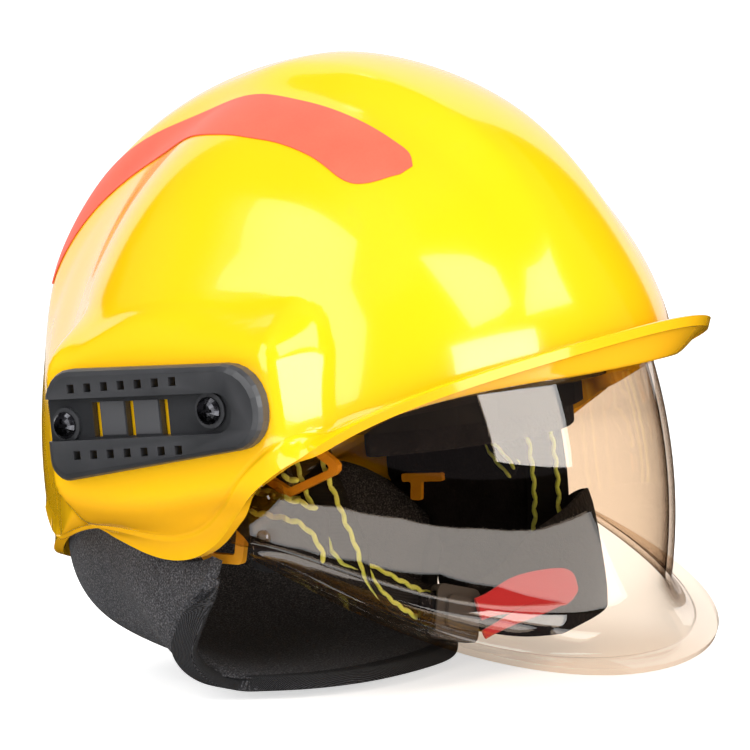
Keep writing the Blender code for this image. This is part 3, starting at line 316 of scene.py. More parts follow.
def curve_through(knots, steps):
    """Catmull-Rom curve through knots, with its ends on the end knots."""
    knots = [np.array(knot, float) for knot in knots]
    padded = [2 * knots[0] - knots[1]] + knots + [2 * knots[-1] - knots[-2]]
    points = []
    for number in range(1, len(padded) - 2):
        before, start, end, after = padded[number - 1:number + 3]
        for step in range(steps):
            part = step / steps
            linear = 2 * start + (end - before) * part
            square = (2 * before - 5 * start + 4 * end - after) * part ** 2
            cube = (3 * start - before - 3 * end + after) * part ** 3
            points.append((linear + square + cube) / 2)
    points.append(knots[-1])
    return np.array(points)


def along_path(want, length, points):
    """Values of a path's points at the wanted distances."""
    return np.stack([np.interp(want, length, points[:, axis]) for axis in range(points.shape[1])], -1)


def even_steps(path, count):
    """The same path with evenly spaced points."""
    length = distance_along(path)
    return along_path(np.linspace(0, length[-1], count), length, path)


def rounded(corners, steps=6):
    """Outline through corners (u, v, radius), with arcs of that radius."""
    outline = []
    count = len(corners)
    for number, (u, v, radius) in enumerate(corners):
        here = Vector((u, v))
        back = (Vector(corners[number - 1][:2]) - here).normalized()
        ahead = (Vector(corners[(number + 1) % count][:2]) - here).normalized()
        half = back.angle(ahead) / 2
        start = here + back * (radius / math.tan(half))
        end = here + ahead * (radius / math.tan(half))
        centre = here + (back + ahead).normalized() * (radius / math.sin(half))
        from_angle = math.atan2(start.y - centre.y, start.x - centre.x)
        to_angle = math.atan2(end.y - centre.y, end.x - centre.x)
        turn = (to_angle - from_angle + math.pi) % (2 * math.pi) - math.pi
        for step in range(steps + 1):
            angle = from_angle + turn * step / steps
            outline.append((centre.x + radius * math.cos(angle), centre.y + radius * math.sin(angle)))
    return outline


# ---- material helpers

class Nodes:
    """The nodes of a new material or world, round its main shader."""

    def __init__(self, made, shader="Principled BSDF"):
        self.made = made
        made.use_nodes = True
        self.tree = made.node_tree
        self.shader = self.tree.nodes[shader]
        self.place = self.add("ShaderNodeTexCoord").outputs["Object"]

    def add(self, kind, inputs=None, **settings):
        """A new node with some of its inputs and settings."""
        node = self.tree.nodes.new(kind)
        for key, value in settings.items():
            setattr(node, key, value)
        for key, value in (inputs or {}).items():
            self.feed(node.inputs[key], value)
        return node

    def feed(self, target, value):
        """Give an input a number, a colour or another node's output."""
        if isinstance(value, (int, float)):
            target.default_value = value
        elif isinstance(value, tuple):
            target.default_value = (*value, 1.0)
        else:
            self.tree.links.new(value, target)

    def noise(self, scale, detail, stretch=None):
        """Soft random pattern, 0 to 1."""
        where = self.place
        if stretch:
            scaled = self.add("ShaderNodeMapping", {"Vector": where})
            scaled.inputs["Scale"].default_value = stretch
            where = scaled.outputs["Vector"]
        inputs = {"Scale": scale, "Detail": detail, "Vector": where}
        return self.add("ShaderNodeTexNoise", inputs).outputs["Fac"]

    def wave(self, scale, direction, distortion=0.0):
        """Even ribs across a direction, 0 to 1."""
        inputs = {"Scale": scale, "Distortion": distortion, "Vector": self.place}
        return self.add("ShaderNodeTexWave", inputs, bands_direction=direction).outputs["Fac"]

    def cells(self, scale):
        """Cells, as the distance from each cell's centre."""
        return self.add("ShaderNodeTexVoronoi", {"Scale": scale, "Vector": self.place}).outputs["Distance"]

    def ramp(self, source, stops):
        """Colours at places along a value."""
        node = self.add("ShaderNodeValToRGB", {"Fac": source})
        elements = node.color_ramp.elements
        while len(elements) < len(stops):
            elements.new(0.5)
        for element, (at, colour) in zip(elements, stops):
            element.position = at
            element.color = (*colour, 1.0)
        return node.outputs["Color"]

    def mottle(self, scale, detail, dark, pale):
        """Two colours in soft patches."""
        return self.ramp(self.noise(scale, detail), [(0.3, dark), (0.7, pale)])

    def span(self, source, low, high, to_low, to_high):
        """A value moved from one range to another."""
        inputs = {"Value": source, "From Min": low, "From Max": high, "To Min": to_low, "To Max": to_high}
        return self.add("ShaderNodeMapRange", inputs).outputs["Result"]

    def mix(self, factor, first, second):
        """Blend of two colours."""
        return self.add("ShaderNodeMix", {0: factor, 6: first, 7: second}, data_type="RGBA").outputs[2]

    def math(self, operation, first, second):
        """Arithmetic on two values."""
        return self.add("ShaderNodeMath", {0: first, 1: second}, operation=operation).outputs[0]

    def bump(self, height, strength, distance, below=None):
        """Surface relief; the distance is in millimetres."""
        node = self.add("ShaderNodeBump", {"Height": height, "Strength": strength, "Distance": distance * MM})
        if below:
            self.feed(node.inputs["Normal"], below)
        return node.outputs["Normal"]

    def use_shader(self, output):
        """Put another shader in the place of the main one."""
        self.tree.nodes.remove(self.shader)
        self.feed(self.tree.nodes["Material Output"].inputs["Surface"], output)

    def set(self, **values):
        """Set or link inputs of the main shader; underscores stand for spaces."""
        for key, value in values.items():
            self.feed(self.shader.inputs[key.replace("_", " ")], value)


FINISHES = {}


def finish(maker):
    """Each material is made once, by the function with its name."""
    name = maker.__name__
    if name not in FINISHES:
        look = Nodes(bpy.data.materials.new(name + "_look"))
        maker(look)
        FINISHES[name] = look.made
    return FINISHES[name]


def shell_yellow(look):
    """Gloss yellow thermoplastic: painted shade, warmer orange where it turns down, faint mottling and orange
    peel.
    """
    normal = look.add("ShaderNodeNewGeometry").outputs["Normal"]
    split = look.add("ShaderNodeSeparateXYZ", {"Vector": normal})
    # painted shade: faces that turn down get a warmer orange base colour, faces that turn up stay yellow
    up = look.span(split.outputs["Z"], -0.55, 0.6, 0.0, 1.0)
    body = look.ramp(up, [(0.0, (1.0, 0.50, 0.012)), (0.45, (1.0, 0.545, 0.006)), (1.0, (1.0, 0.56, 0.003))])
    mottle = look.span(look.noise(9.0, 2.0), 0.35, 0.65, 0.0, 0.10)
    body = look.mix(mottle, body, (1.0, 0.48, 0.01))
    scuff = look.span(look.noise(160.0, 6.0, (1.0, 1.0, 0.2)), 0.62, 0.75, 0.0, 0.10)
    rough = look.math("ADD", scuff, 0.15)
    peel = look.bump(look.noise(420.0, 1.0), 0.05, 0.12)
    look.set(Base_Color=body, Roughness=rough, Normal=peel, Coat_Weight=0.6, Coat_Roughness=0.03, IOR=1.49)


def stripe_red(look):
    """Salmon-red reflective film with a fine prismatic cell."""
    cell = look.cells(900.0)
    tone = look.mottle(40.0, 3.0, (0.90, 0.105, 0.06), (0.97, 0.13, 0.075))
    tone = look.mix(look.span(cell, 0.0, 0.6, 0.0, 0.08), tone, (1.0, 0.22, 0.14))
    look.set(Base_Color=tone, Roughness=0.42, Normal=look.bump(cell, 0.15, 0.05), Coat_Weight=0.05,
             Coat_Roughness=0.15, Specular_IOR_Level=0.25)


def black_plastic(look):
    """Dark grey moulded plastic: fine spark-eroded grain, corners made paler by painted highlights."""
    grain = look.noise(1400.0, 2.0)
    tone = look.mottle(60.0, 5.0, (0.017, 0.018, 0.020), (0.027, 0.028, 0.031))
    # painted highlight: sharp corners (high pointiness) are mixed towards pale grey
    edge = look.span(look.add("ShaderNodeNewGeometry").outputs["Pointiness"], 0.52, 0.60, 0.0, 0.35)
    tone = look.mix(edge, tone, (0.16, 0.16, 0.17))
    rough = look.span(look.noise(90.0, 4.0), 0.3, 0.7, 0.30, 0.42)
    look.set(Base_Color=tone, Roughness=rough, Normal=look.bump(grain, 0.18, 0.08), Specular_IOR_Level=0.6)


def harness_plastic(look):
    """Matt black plastic of the harness inside the helmet."""
    tone = look.mottle(70.0, 4.0, (0.006, 0.006, 0.006), (0.011, 0.011, 0.012))
    look.set(Base_Color=tone, Roughness=0.75, Normal=look.bump(look.noise(1200.0, 2.0), 0.15, 0.08),
             Specular_IOR_Level=0.15)


def screw_metal(look):
    """Dark nickel-plated steel with turning marks."""
    tone = look.mottle(300.0, 3.0, (0.07, 0.07, 0.08), (0.15, 0.15, 0.16))
    look.set(Base_Color=tone, Metallic=1.0, Roughness=look.span(look.noise(500.0, 3.0), 0.3, 0.7, 0.14, 0.32),
             Normal=look.bump(look.noise(900.0, 2.0), 0.08, 0.05))


def orange_plastic(look):
    """Orange moulded plastic of the loops."""
    tone = look.mottle(70.0, 4.0, (0.88, 0.34, 0.012), (0.98, 0.43, 0.02))
    look.set(Base_Color=tone, Roughness=look.span(look.noise(150.0, 3.0), 0.3, 0.7, 0.28, 0.42),
             Normal=look.bump(look.noise(700.0, 2.0), 0.1, 0.08), Subsurface_Weight=0.05)


def black_foam(look):
    """Moulded bead foam, faintly dimpled."""
    cell = look.cells(260.0)
    tone = look.mottle(30.0, 4.0, (0.012, 0.012, 0.013), (0.022, 0.022, 0.024))
    look.set(Base_Color=tone, Roughness=0.85, Normal=look.bump(cell, 0.5, 0.6), Specular_IOR_Level=0.15)


def black_fleece(look):
    """Black plush with uneven nap."""
    nap = look.noise(520.0, 6.0)
    patch = look.noise(55.0, 4.0)
    tone = look.ramp(patch, [(0.3, (0.005, 0.005, 0.005)), (0.75, (0.016, 0.015, 0.017))])
    rough = look.bump(nap, 0.9, 1.2, look.bump(patch, 0.5, 3.0))
    look.set(Base_Color=tone, Roughness=0.95, Normal=rough, Sheen_Weight=0.04, Sheen_Roughness=0.5,
             Specular_IOR_Level=0.1)


def webbing(look):
    """Black nylon webbing: crossed ribs of a narrow weave."""
    weave = look.math("MULTIPLY", look.wave(900.0, "Y"), look.wave(620.0, "Z"))
    tone = look.ramp(weave, [(0.0, (0.006, 0.006, 0.007)), (1.0, (0.024, 0.023, 0.026))])
    look.set(Base_Color=tone, Roughness=0.8, Normal=look.bump(weave, 0.7, 0.5), Sheen_Weight=0.03,
             Specular_IOR_Level=0.15)


def lime_thread(look):
    """Lime-green stitching thread."""
    twist = look.wave(2600.0, "Z", 3.0)
    strand = look.span(look.noise(300.0, 3.0), 0.3, 0.7, 0.0, 1.0)
    tone = look.mix(strand, (0.74, 0.92, 0.09), (0.88, 1.0, 0.22))
    look.set(Base_Color=tone, Roughness=0.6, Normal=look.bump(twist, 0.5, 0.2), Sheen_Weight=0.3)


def red_fabric(look):
    """Red woven tab."""
    weave = look.math("MULTIPLY", look.wave(1300.0, "X"), look.wave(1300.0, "Z"))
    tone = look.ramp(weave, [(0.0, (0.55, 0.008, 0.02)), (1.0, (0.86, 0.03, 0.06))])
    look.set(Base_Color=tone, Roughness=0.7, Normal=look.bump(weave, 0.5, 0.3), Sheen_Weight=0.3)


def grey_felt(look):
    """Charcoal heather knit: pale and dark fibres in small specks."""
    speck = look.noise(1500.0, 5.0)
    cloud = look.noise(28.0, 4.0)
    tone = look.ramp(speck, [(0.30, (0.018, 0.018, 0.020)), (0.52, (0.060, 0.060, 0.066)),
                             (0.72, (0.19, 0.19, 0.20))])
    tone = look.mix(look.span(cloud, 0.3, 0.7, 0.0, 0.3), tone, (0.022, 0.022, 0.025))
    look.set(Base_Color=tone, Roughness=0.95, Normal=look.bump(speck, 0.8, 0.5), Sheen_Weight=0.03,
             Sheen_Roughness=0.6, Specular_IOR_Level=0.15)


def binding(look):
    """Overlocked edge of the curtain: dark herringbone of thread."""
    rib = look.wave(950.0, "DIAGONAL", 2.0)
    tone = look.ramp(rib, [(0.2, (0.012, 0.012, 0.013)), (0.8, (0.060, 0.060, 0.066))])
    look.set(Base_Color=tone, Roughness=0.9, Normal=look.bump(rib, 0.9, 0.8), Sheen_Weight=0.04,
             Specular_IOR_Level=0.2)


def amber_lens(look):
    """Clear amber polycarbonate: tinted see-through film under a mirror-smooth hard coat."""
    tint = look.mottle(6.0, 2.0, (0.915, 0.835, 0.75), (0.93, 0.855, 0.775))
    slant = look.add("ShaderNodeLayerWeight").outputs["Facing"]
    tint = look.mix(look.span(slant, 0.74, 0.98, 0.0, 1.0), tint, (0.58, 0.43, 0.33))
    see = look.add("ShaderNodeBsdfTransparent", {"Color": tint}).outputs["BSDF"]
    rough = look.span(look.noise(40.0, 3.0), 0.4, 0.7, 0.005, 0.03)
    coat = {"Color": (1.0, 0.985, 0.97), "Roughness": rough}
    gloss = look.add("ShaderNodeBsdfGlossy", coat).outputs["BSDF"]
    behind = look.add("ShaderNodeNewGeometry").outputs["Backfacing"]
    index = look.span(behind, 0.0, 1.0, LENS_INDEX, 1 / LENS_INDEX)
    share = look.add("ShaderNodeFresnel", {"IOR": index}).outputs["Fac"]
    look.use_shader(look.add("ShaderNodeMixShader", {0: share, 1: see, 2: gloss}).outputs["Shader"])


# ---- outer shell

def shell_surface(angle, level):
    """Outer face of the shell: level 0 apex, 1 waist, 2 edge; angle round the head."""
    waist_radius = ring(WAIST_RADIUS)(angle)
    waist_z = ring(WAIST_Z)(angle)
    edge_radius = ring(EDGE_RADIUS)(angle)
    edge_z = ring(EDGE_Z)(angle)
    edge_tilt = np.radians(ring(EDGE_ANGLE)(angle))
    power = 2 / ring(DOME_POWER)(angle)
    arc = np.clip(level, 0, 1) * math.pi / 2
    dome_radius = waist_radius * np.sin(arc) ** power
    dome_z = waist_z + (SHELL_TOP - waist_z) * np.abs(np.cos(arc)) ** power
    part = np.clip(level - 1, 0, 1)
    reach = np.hypot(edge_radius - waist_radius, waist_z - edge_z)
    first_z = waist_z - 0.45 * reach
    second_radius = edge_radius - 0.40 * reach * np.cos(edge_tilt)
    second_z = edge_z + 0.40 * reach * np.sin(edge_tilt)
    start, near, far, end = cubic_weights(part)
    wall_radius = (start + near) * waist_radius + far * second_radius + end * edge_radius
    wall_z = start * waist_z + near * first_z + far * second_z + end * edge_z
    radius = np.where(level <= 1, dome_radius, wall_radius)
    z = np.where(level <= 1, dome_z, wall_z)
    x = -radius * np.sin(angle)
    y = -radius * np.cos(angle) + APEX_SHIFT_Y * (1 - np.clip(radius / waist_radius, 0, 1) ** 2)
    x, y, z = raise_crest(x, y, z)
    return np.stack([raise_ear(x, y, z), y, z], -1)


def raise_crest(x, y, z):
    """Lift the band over the middle of the head, fading at brow and nape."""
    slope = np.degrees(np.arctan2(z - CREST_AXIS_Z, -y))
    along = smooth(slope, 10, 60) * (1 - smooth(slope, 150, 185))
    across = 1 - smooth(np.abs(x), CREST_FLAT, CREST_FOOT)
    lift = CREST_HEIGHT * along * across
    reach = np.maximum(np.hypot(y, z - CREST_AXIS_Z), 1.0)
    return x, y + lift * y / reach, z + lift * (z - CREST_AXIS_Z) / reach


def raise_ear(x, y, z):
    """Push the sides out over the ears and flatten them where the rails sit."""
    upper = np.where(z > BULGE_Z, (z - BULGE_Z) / BULGE_RISE, 0.0)
    spread = np.hypot((y - BULGE_Y) / BULGE_HALF_LENGTH, upper)
    bulge = (1 - smooth(spread, 0.86, 1.0)) * smooth(z, -32, -12)
    side = smooth(np.abs(x), 60, 85)
    out = np.abs(x) + BULGE_HEIGHT * bulge * side
    past_y = np.maximum(np.abs(y - SEAT_Y) - SEAT_HALF_LENGTH, 0) / SEAT_BLEND_ALONG
    above = np.maximum(z - SEAT_HIGH, 0) / SEAT_BLEND_ABOVE
    below = np.maximum(SEAT_LOW - z, 0) / SEAT_BLEND_BELOW
    seat = (1 - smooth(np.hypot(past_y, above + below), 0, 1)) * side
    out = out + (SEAT_X - out) * seat
    return np.sign(x) * out


def inset_face(surface, angle, level, inset):
    """A surface of angle and level, moved in along its normal."""
    step = 1e-3
    round_step = surface(angle + step, level) - surface(angle - step, level)
    down_step = surface(angle, np.minimum(level + step, 2)) - surface(angle, np.maximum(level - step, 1e-4))
    inward = unit(np.cross(down_step, round_step))
    return surface(angle, level) + np.asarray(inset)[..., None] * inward


def wall_levels(angle):
    """Levels down the wall of each column, close together over the edge band's crease."""
    table = np.linspace(1.0, 2.0, 201)
    angles, levels = np.meshgrid(angle, table)
    points = shell_surface(angles, levels)
    steps = np.linalg.norm(np.diff(points, axis=0), axis=-1)
    from_edge = np.concatenate([np.cumsum(steps[::-1], axis=0)[::-1], np.zeros((1, len(angle)))])
    width = ring(BAND_WIDTH)(angle)
    found = []
    distances = []
    for col in range(len(angle)):
        total = from_edge[0, col]
        crease = width[col] + np.array(CREASE_STEPS)
        inner = np.linspace(0.0, width[col] - CREASE_REACH, 6)
        past = width[col] + CREASE_REACH
        outer = past + (total - past) * np.linspace(0, 1, 18) ** 1.1
        distance = np.concatenate([inner, crease, outer])[::-1]
        found.append(np.interp(distance, from_edge[::-1, col], table[::-1]))
        distances.append(distance)
    return np.array(found).T, np.array(distances).T, width


def build_shell(cols=288):
    """Outer shell with its raised edge band, from the crown down to the edge."""
    angle = np.linspace(-math.pi, math.pi, cols + 1)[:-1]
    dome = np.linspace(0.012, 1.0, 74)[:-1]
    levels, distances, width = wall_levels(angle)
    level = np.concatenate([np.repeat(dome[:, None], cols, axis=1), levels])
    distance = np.concatenate([np.full((len(dome), cols), 99.0), distances])
    angles = np.repeat(angle[None, :], len(level), axis=0)
    past = (distance - width[None, :]) / BAND_BLEND
    relief = BAND_RELIEF * (1 - smooth(past, -1, 1)) - BAND_CREASE * np.exp(-((past - 1.0) / 0.7) ** 2)
    outer = inset_face(shell_surface, angles, level, -relief)
    inner = inset_face(shell_surface, angles, level, SHELL_WALL)
    crown = shell_surface(np.array([0.0]), np.array([0.0]))
    outer = np.concatenate([np.broadcast_to(crown, (1, cols, 3)), outer])
    inner = np.concatenate([np.broadcast_to(crown - [0, 0, SHELL_WALL], (1, cols, 3)), inner])
    shell = sheet("shell", outer, inner, finish(shell_yellow), wrap=True, pole=True, sharp=60, bevel=1.3)
    settle(shell, "helmet", "outer_shell")


# ---- reflective stripes

def on_shell(x, slope):
    """Angle and level of the outer face's point with this x and this slope about the crest's axis."""
    y = -115 * np.cos(slope)
    angle = np.arctan2(-x, -y)
    level = np.clip(np.hypot(x, y) / 125, 0.1, 1.0) * 0.8
    for _ in range(40):
        point = shell_surface(angle, level)
        miss_x = x - point[..., 0]
        high = point[..., 2] - CREST_AXIS_Z
        miss_slope = slope - np.arctan2(high, -point[..., 1])
        step = 1e-4
        by_angle = (shell_surface(angle + step, level) - point) / step
        by_level = (shell_surface(angle, level + step) - point) / step
        reach = point[..., 1] ** 2 + high ** 2
        turn_angle = (by_angle[..., 1] * high - by_angle[..., 2] * point[..., 1]) / reach
        turn_level = (by_level[..., 1] * high - by_level[..., 2] * point[..., 1]) / reach
        det = by_angle[..., 0] * turn_level - by_level[..., 0] * turn_angle
        det = np.where(np.abs(det) < 1e-6, 1e-6, det)
        angle = angle + np.clip((miss_x * turn_level - by_level[..., 0] * miss_slope) / det, -0.15, 0.15)
        change = (by_angle[..., 0] * miss_slope - miss_x * turn_angle) / det
        level = np.clip(level + np.clip(change, -0.1, 0.1), 0.02, 1.9)
    return angle, level


def stripe_edges(count):
    """Slopes of the stripe from brow to nape, and x of its near and far edge."""
    knots = [(48, 50, 55), (51, 46.5, 63.5), (56, 45.5, 66), (67, 43.5, 62.5), (77, 41, 60.5), (87, 39, 60.5),
             (97, 37, 58.5), (108, 33, 50), (121, 28, 40), (135, 22.5, 34.5), (152, 17, 29), (159, 14, 26)]
    path = curve_through(knots, 12)
    slope = np.linspace(path[0, 0], path[-1, 0], count)
    near = np.interp(slope, path[:, 0], path[:, 1])
    far = np.interp(slope, path[:, 0], path[:, 2])
    return np.radians(slope), near, far


def build_stripe(word, side):
    """Thin reflective film over one side of the crown."""
    slope, near, far = stripe_edges(130)
    across = np.linspace(0, 1, 11)
    slopes = np.broadcast_to(slope[:, None], (len(slope), len(across)))
    x = side * (near[:, None] + (far - near)[:, None] * across[None, :])
    angle, level = on_shell(x, slopes)
    outer = inset_face(shell_surface, angle, level, -STRIPE_TOP)
    inner = inset_face(shell_surface, angle, level, -STRIPE_FOOT)
    stripe = sheet("stripe_" + word, outer, inner, finish(stripe_red), bevel=0.15)
    settle(stripe, "helmet", "reflective_stripe_" + word)


# ---- face shield

def lens_surface(angle, height):
    """Outer face of the lens; height 0 top edge, 1 foot of the wall, 1..2 flared rim."""
    rim_radius = ring(RIM_RADIUS, math.pi / 2)(angle)
    rim_z = ring(RIM_Z, math.pi / 2)(angle)
    top_z = LENS_TOP_Z - LENS_TOP_DROP * np.sin(np.abs(angle)) ** 4
    flare = RIM_DEPTH + RIM_DEPTH_AT_BROW * np.cos(angle) ** 2
    foot_z = rim_z + flare
    wall = np.clip(height, 0, 1)
    z = top_z + (foot_z - top_z) * wall
    front = LENS_FRONT - LENS_BARREL * (z - LENS_BARREL_Z) ** 2
    radius = ((np.cos(angle) / front) ** 2 + (np.sin(angle) / LENS_SIDE) ** 2) ** -0.5
    turn = np.clip(height - 1, 0, 1) * RIM_TURN
    out = (1 - np.cos(turn)) / (1 - math.cos(RIM_TURN))
    down = np.sin(turn) / math.sin(RIM_TURN)
    radius = radius + (rim_radius - radius) * out
    z = z - flare * down
    return np.stack([-radius * np.sin(angle), -radius * np.cos(angle), z], -1)


def build_lens():
    """Face shield with its flared rim and the groove along it."""
    angle = np.linspace(-LENS_END, LENS_END, 161)
    band = np.array([1.60, 1.66, 1.69, 1.71, 1.73, 1.76, 1.80, 1.88, 1.96, 2.0])
    height = np.concatenate([np.linspace(0, 1, 40), np.linspace(1, 1.6, 14)[1:-1], band])
    angles, heights = np.meshgrid(angle, height)
    groove = GROOVE_DEPTH * np.exp(-((heights - GROOVE_AT) / GROOVE_WIDTH) ** 2) * smooth(heights, 1.5, 1.7)
    outer = inset_face(lens_surface, angles, heights, groove)
    inner = inset_face(lens_surface, angles, heights, LENS_WALL)
    lens = sheet("face_shield", outer, inner, finish(amber_lens), sharp=50, bevel=0.7)
    settle(lens, "visor", "visor_lens")


# ---- neck curtain

def curtain_rim(part):
    """Top edge of the curtain, inside the shell's edge, part 0 right to 1 left."""
    turn = math.radians(CURTAIN_REACH) * (2 * part - 1)
    angle = np.where(turn < 0, math.pi + turn, turn - math.pi)
    edge = shell_surface(angle, np.full_like(angle, 2.0))
    radial = unit(edge * [1, 1, 0])
    lift = 7.5 * smooth(np.abs(np.degrees(angle)), 105, 132) - 2.5
    return edge - radial * CURTAIN_TOP_IN + lift[..., None] * np.array([0, 0, 1.0])


def curtain_hem(part):
    """Free edge of the curtain: down in front of one ear, along the ground and up to the other."""
    knots = [(-85, 9, -41), (-83.5, 10, -50), (-83, 16, -59), (-78, 26, -74), (-68, 20, -85.6),
             (-60, -6, -86.9), (-40, -28, -86.9), (-5, -36, -86.9), (22, -26, -86.9), (41, -9, -86.6),
             (56, 5, -80), (70, 13, -66), (79, 14, -54), (84, 10, -46), (85, 9, -41)]
    return along_path(part, np.linspace(0, 1, 400), even_steps(curve_through(knots, 12), 400))


def curtain_face(part, depth):
    """Middle face of the curtain between its top edge (depth 0) and its hem (depth 1)."""
    top = curtain_rim(part)
    hem = curtain_hem(part)
    middle = np.sin(math.pi * part)[..., None]
    outward = unit(top * [1, 1, 0])
    belly = top + outward * (7 - 3 * middle) + [0, 0, 1] * (-26 * middle - 12)
    foot = hem * (1 - 0.62 * middle) + (top + outward * 2) * 0.62 * middle
    foot = foot * [1, 1, 0] + [0, 0, 1] * hem
    start, near, far, end = cubic_weights(depth[..., None])
    return start * top + near * belly + far * foot + end * hem


def curtain_normal(part, depth):
    """Direction square to the curtain's middle face."""
    step = 1e-3
    along = curtain_face(np.clip(part + step, 0, 1), depth) - curtain_face(np.clip(part - step, 0, 1), depth)
    down = curtain_face(part, np.clip(depth + step, 0, 1)) - curtain_face(part, np.clip(depth - step, 0, 1))
    return unit(np.cross(along, down))


def build_curtain():
    """Neck curtain with soft waves, and the band round its free edge."""
    part = np.linspace(0.0, 1.0, 181)
    depth = np.linspace(0.0, 1.0, 61)
    parts, depths = np.meshgrid(part, depth)
    face = curtain_face(parts, depths)
    normal = curtain_normal(parts, depths)
    waves = np.sin(parts * 34 + depths * 3) * np.sin(math.pi * depths) * smooth(depths, 0.05, 0.4)
    sag = CURTAIN_FOLD * waves
    face = face + normal * sag[..., None] * smooth(face[..., 2], -86, -60)[..., None]
    outer = face + normal * CURTAIN_THICK / 2
    inner = face - normal * CURTAIN_THICK / 2
    curtain = sheet("curtain", outer, inner, finish(grey_felt), sharp=60, bevel=1.2)
    settle(curtain, "helmet", "neck_curtain")
    build_hem_binding()


def build_hem_binding():
    """Overlocked band that wraps the free edge."""
    part = np.linspace(0.004, 0.996, 260)
    edge = curtain_face(part, np.ones_like(part))
    back = unit(curtain_face(part, np.full_like(part, 0.93)) - edge)
    normal = curtain_normal(part, np.full_like(part, 0.995))
    half = CURTAIN_THICK / 2 + BINDING_STAND
    turns = np.linspace(-math.pi / 2, math.pi / 2, 9)
    outer = [edge - back * 0.9 * math.cos(turn) + normal * half * math.sin(turn) for turn in turns]
    inner = [edge + back * 0.8 + normal * (half - 1.0) * math.sin(turn) for turn in turns]
    first = edge + back * BINDING_REACH - normal * (half - 0.25)
    last = edge + back * BINDING_REACH + normal * (half - 0.25)
    outer = np.stack([first] + outer + [last])
    inner = np.stack([first + normal * 0.5] + inner + [last - normal * 0.5])
    settle(sheet("curtain_binding", outer, inner, finish(binding), sharp=70), "helmet")


# ---- straps and stitching

def strap_frame(knots, sides, count):
    """Evenly spaced path of a strap with its across and outward directions."""
    both = [tuple(knot) + tuple(side) for knot, side in zip(knots, sides)]
    path = even_steps(curve_through(both, 10), count)
    point = path[:, :3]
    tangent = unit(np.gradient(point, axis=0))
    across = path[:, 3:]
    across = unit(across - (across * tangent).sum(1)[:, None] * tangent)
    return point, across, np.cross(tangent, across)


def build_strap(name, path, width, thick, look, body, node=None, count=60, crown=0.25):
    """A strap with softly crowned faces along a path."""
    point, across, normal = strap_frame(*path, count)
    width = np.broadcast_to(np.asarray(width, float), (count,))
    cells = np.linspace(-1, 1, 9)
    rise = thick / 2 * (1 - 0.55 * np.abs(cells) ** 6) + crown * (1 - cells ** 2)
    outer = []
    inner = []
    for cell, high in zip(cells, rise):
        middle = point + across * (cell * width / 2)[:, None]
        outer.append(middle + normal * high)
        inner.append(middle - normal * high)
    settle(sheet(name, np.stack(outer), np.stack(inner), look, sharp=55), body, node)


def capsule(cage, start, end, normal, sides=6):
    """Add one stitch: a flattened capsule between two points, to a bmesh."""
    along = end - start
    length = np.linalg.norm(along)
    along = along / length
    up = unit(normal - along * float(normal @ along))
    right = np.cross(along, up)
    rings = []
    for part, scale in ((0.0, 0.35), (0.12, 0.8), (0.3, 1.0), (0.7, 1.0), (0.88, 0.8), (1.0, 0.35)):
        centre = start + along * length * part
        loop = []
        for step in range(sides):
            turn = 2 * math.pi * step / sides
            offset = (right * math.cos(turn) + up * STITCH_FLAT * math.sin(turn)) * STITCH_RADIUS
            loop.append(cage.verts.new(place(centre + offset * scale)))
        rings.append(loop)
    for low, high in zip(rings, rings[1:]):
        for step in range(sides):
            nxt = (step + 1) % sides
            cage.faces.new((low[step], low[nxt], high[nxt], high[step]))
    cage.faces.new(rings[0][::-1])
    cage.faces.new(rings[-1])


def stitch_line(name, points, normals):
    """A row of zig-zag stitches on a surface, as real thread."""
    length = distance_along(points)
    count = max(int(length[-1] / STITCH_PITCH), 2)
    draw = random.Random(name)
    cage = bmesh.new()
    for number in range(count):
        ends = []
        for step in (number - STITCH_OVERLAP, number + 1 + STITCH_OVERLAP):
            at = np.clip(step * STITCH_PITCH, 0, length[-1])
            ends.append((along_path(at, length, points), unit(along_path(at, length, normals))))
        along = unit(ends[1][0] - ends[0][0])
        across = np.cross(ends[0][1], along)
        swing = STITCH_SWAY * (1 if number % 2 else -1) + draw.uniform(-0.12, 0.12)
        start = ends[0][0] - across * swing * 0.9 + ends[0][1] * 0.25
        end = ends[1][0] + across * swing * 0.9 + ends[1][1] * 0.25
        capsule(cage, start, end, ends[0][1])
    mesh = bpy.data.meshes.new(name)
    cage.to_mesh(mesh)
    cage.free()
    mesh.materials.append(finish(lime_thread))
    made = add_object(name, mesh)
    mesh.shade_smooth()
    settle(made, "helmet")


def strap_stitches(name, path, offset, face):
    """Stitches along a strap at an offset across it, on its outward (1) or inward (-1) face."""
    point, across, normal = strap_frame(*path, 90)
    stitch_line(name, point + across * offset + normal * face * STITCH_LIFT, normal * face)


FRONT_RIGHT = ([(-77.2, -33, 5), (-77.2, -38, -12), (-76.8, -44, -28), (-73.5, -48, -40), (-61, -52, -51),
                (-44, -53.5, -60.5), (-33, -54.5, -65)],
               [(0, 0.97, 0.2), (0, 0.97, 0.25), (0, 0.92, 0.4), (-0.1, 0.75, 0.6), (0.2, 0.4, 0.9),
                (0.3, 0.2, 0.95), (0.25, 0.1, 0.97)])
FRONT_LEFT = ([(77.2, -38, 5), (77.2, -40, -12), (77.2, -41, -30), (75.5, -41, -46), (71, -41, -58)],
              [(0.0, -1, 0.0)] * 5)
REAR_RIGHT = ([(-73.8, 8, -14), (-74.0, -8, -16), (-74.0, -24, -19), (-73.4, -37, -22.5)],
              [(0, 0.4, -1.0)] * 4)
REAR_LEFT = ([(73.8, 2, 4.5), (74.3, -13, -10), (74.8, -28, -27)], [(0, 0.7, 0.75)] * 3)
CHIN = ([(-22, -60, -66), (-4, -73, -64), (18, -79, -59), (38, -78.5, -56), (56, -72.5, -54), (70, -61, -54),
         (79, -45, -58), (81, -12, -61.5)],
        [(0.1, 0.1, 1), (0.1, 0.1, 1), (0, 0.15, 1), (0, 0.15, 1), (0, 0.1, 1)] + [(0, 0, 1)] * 3)
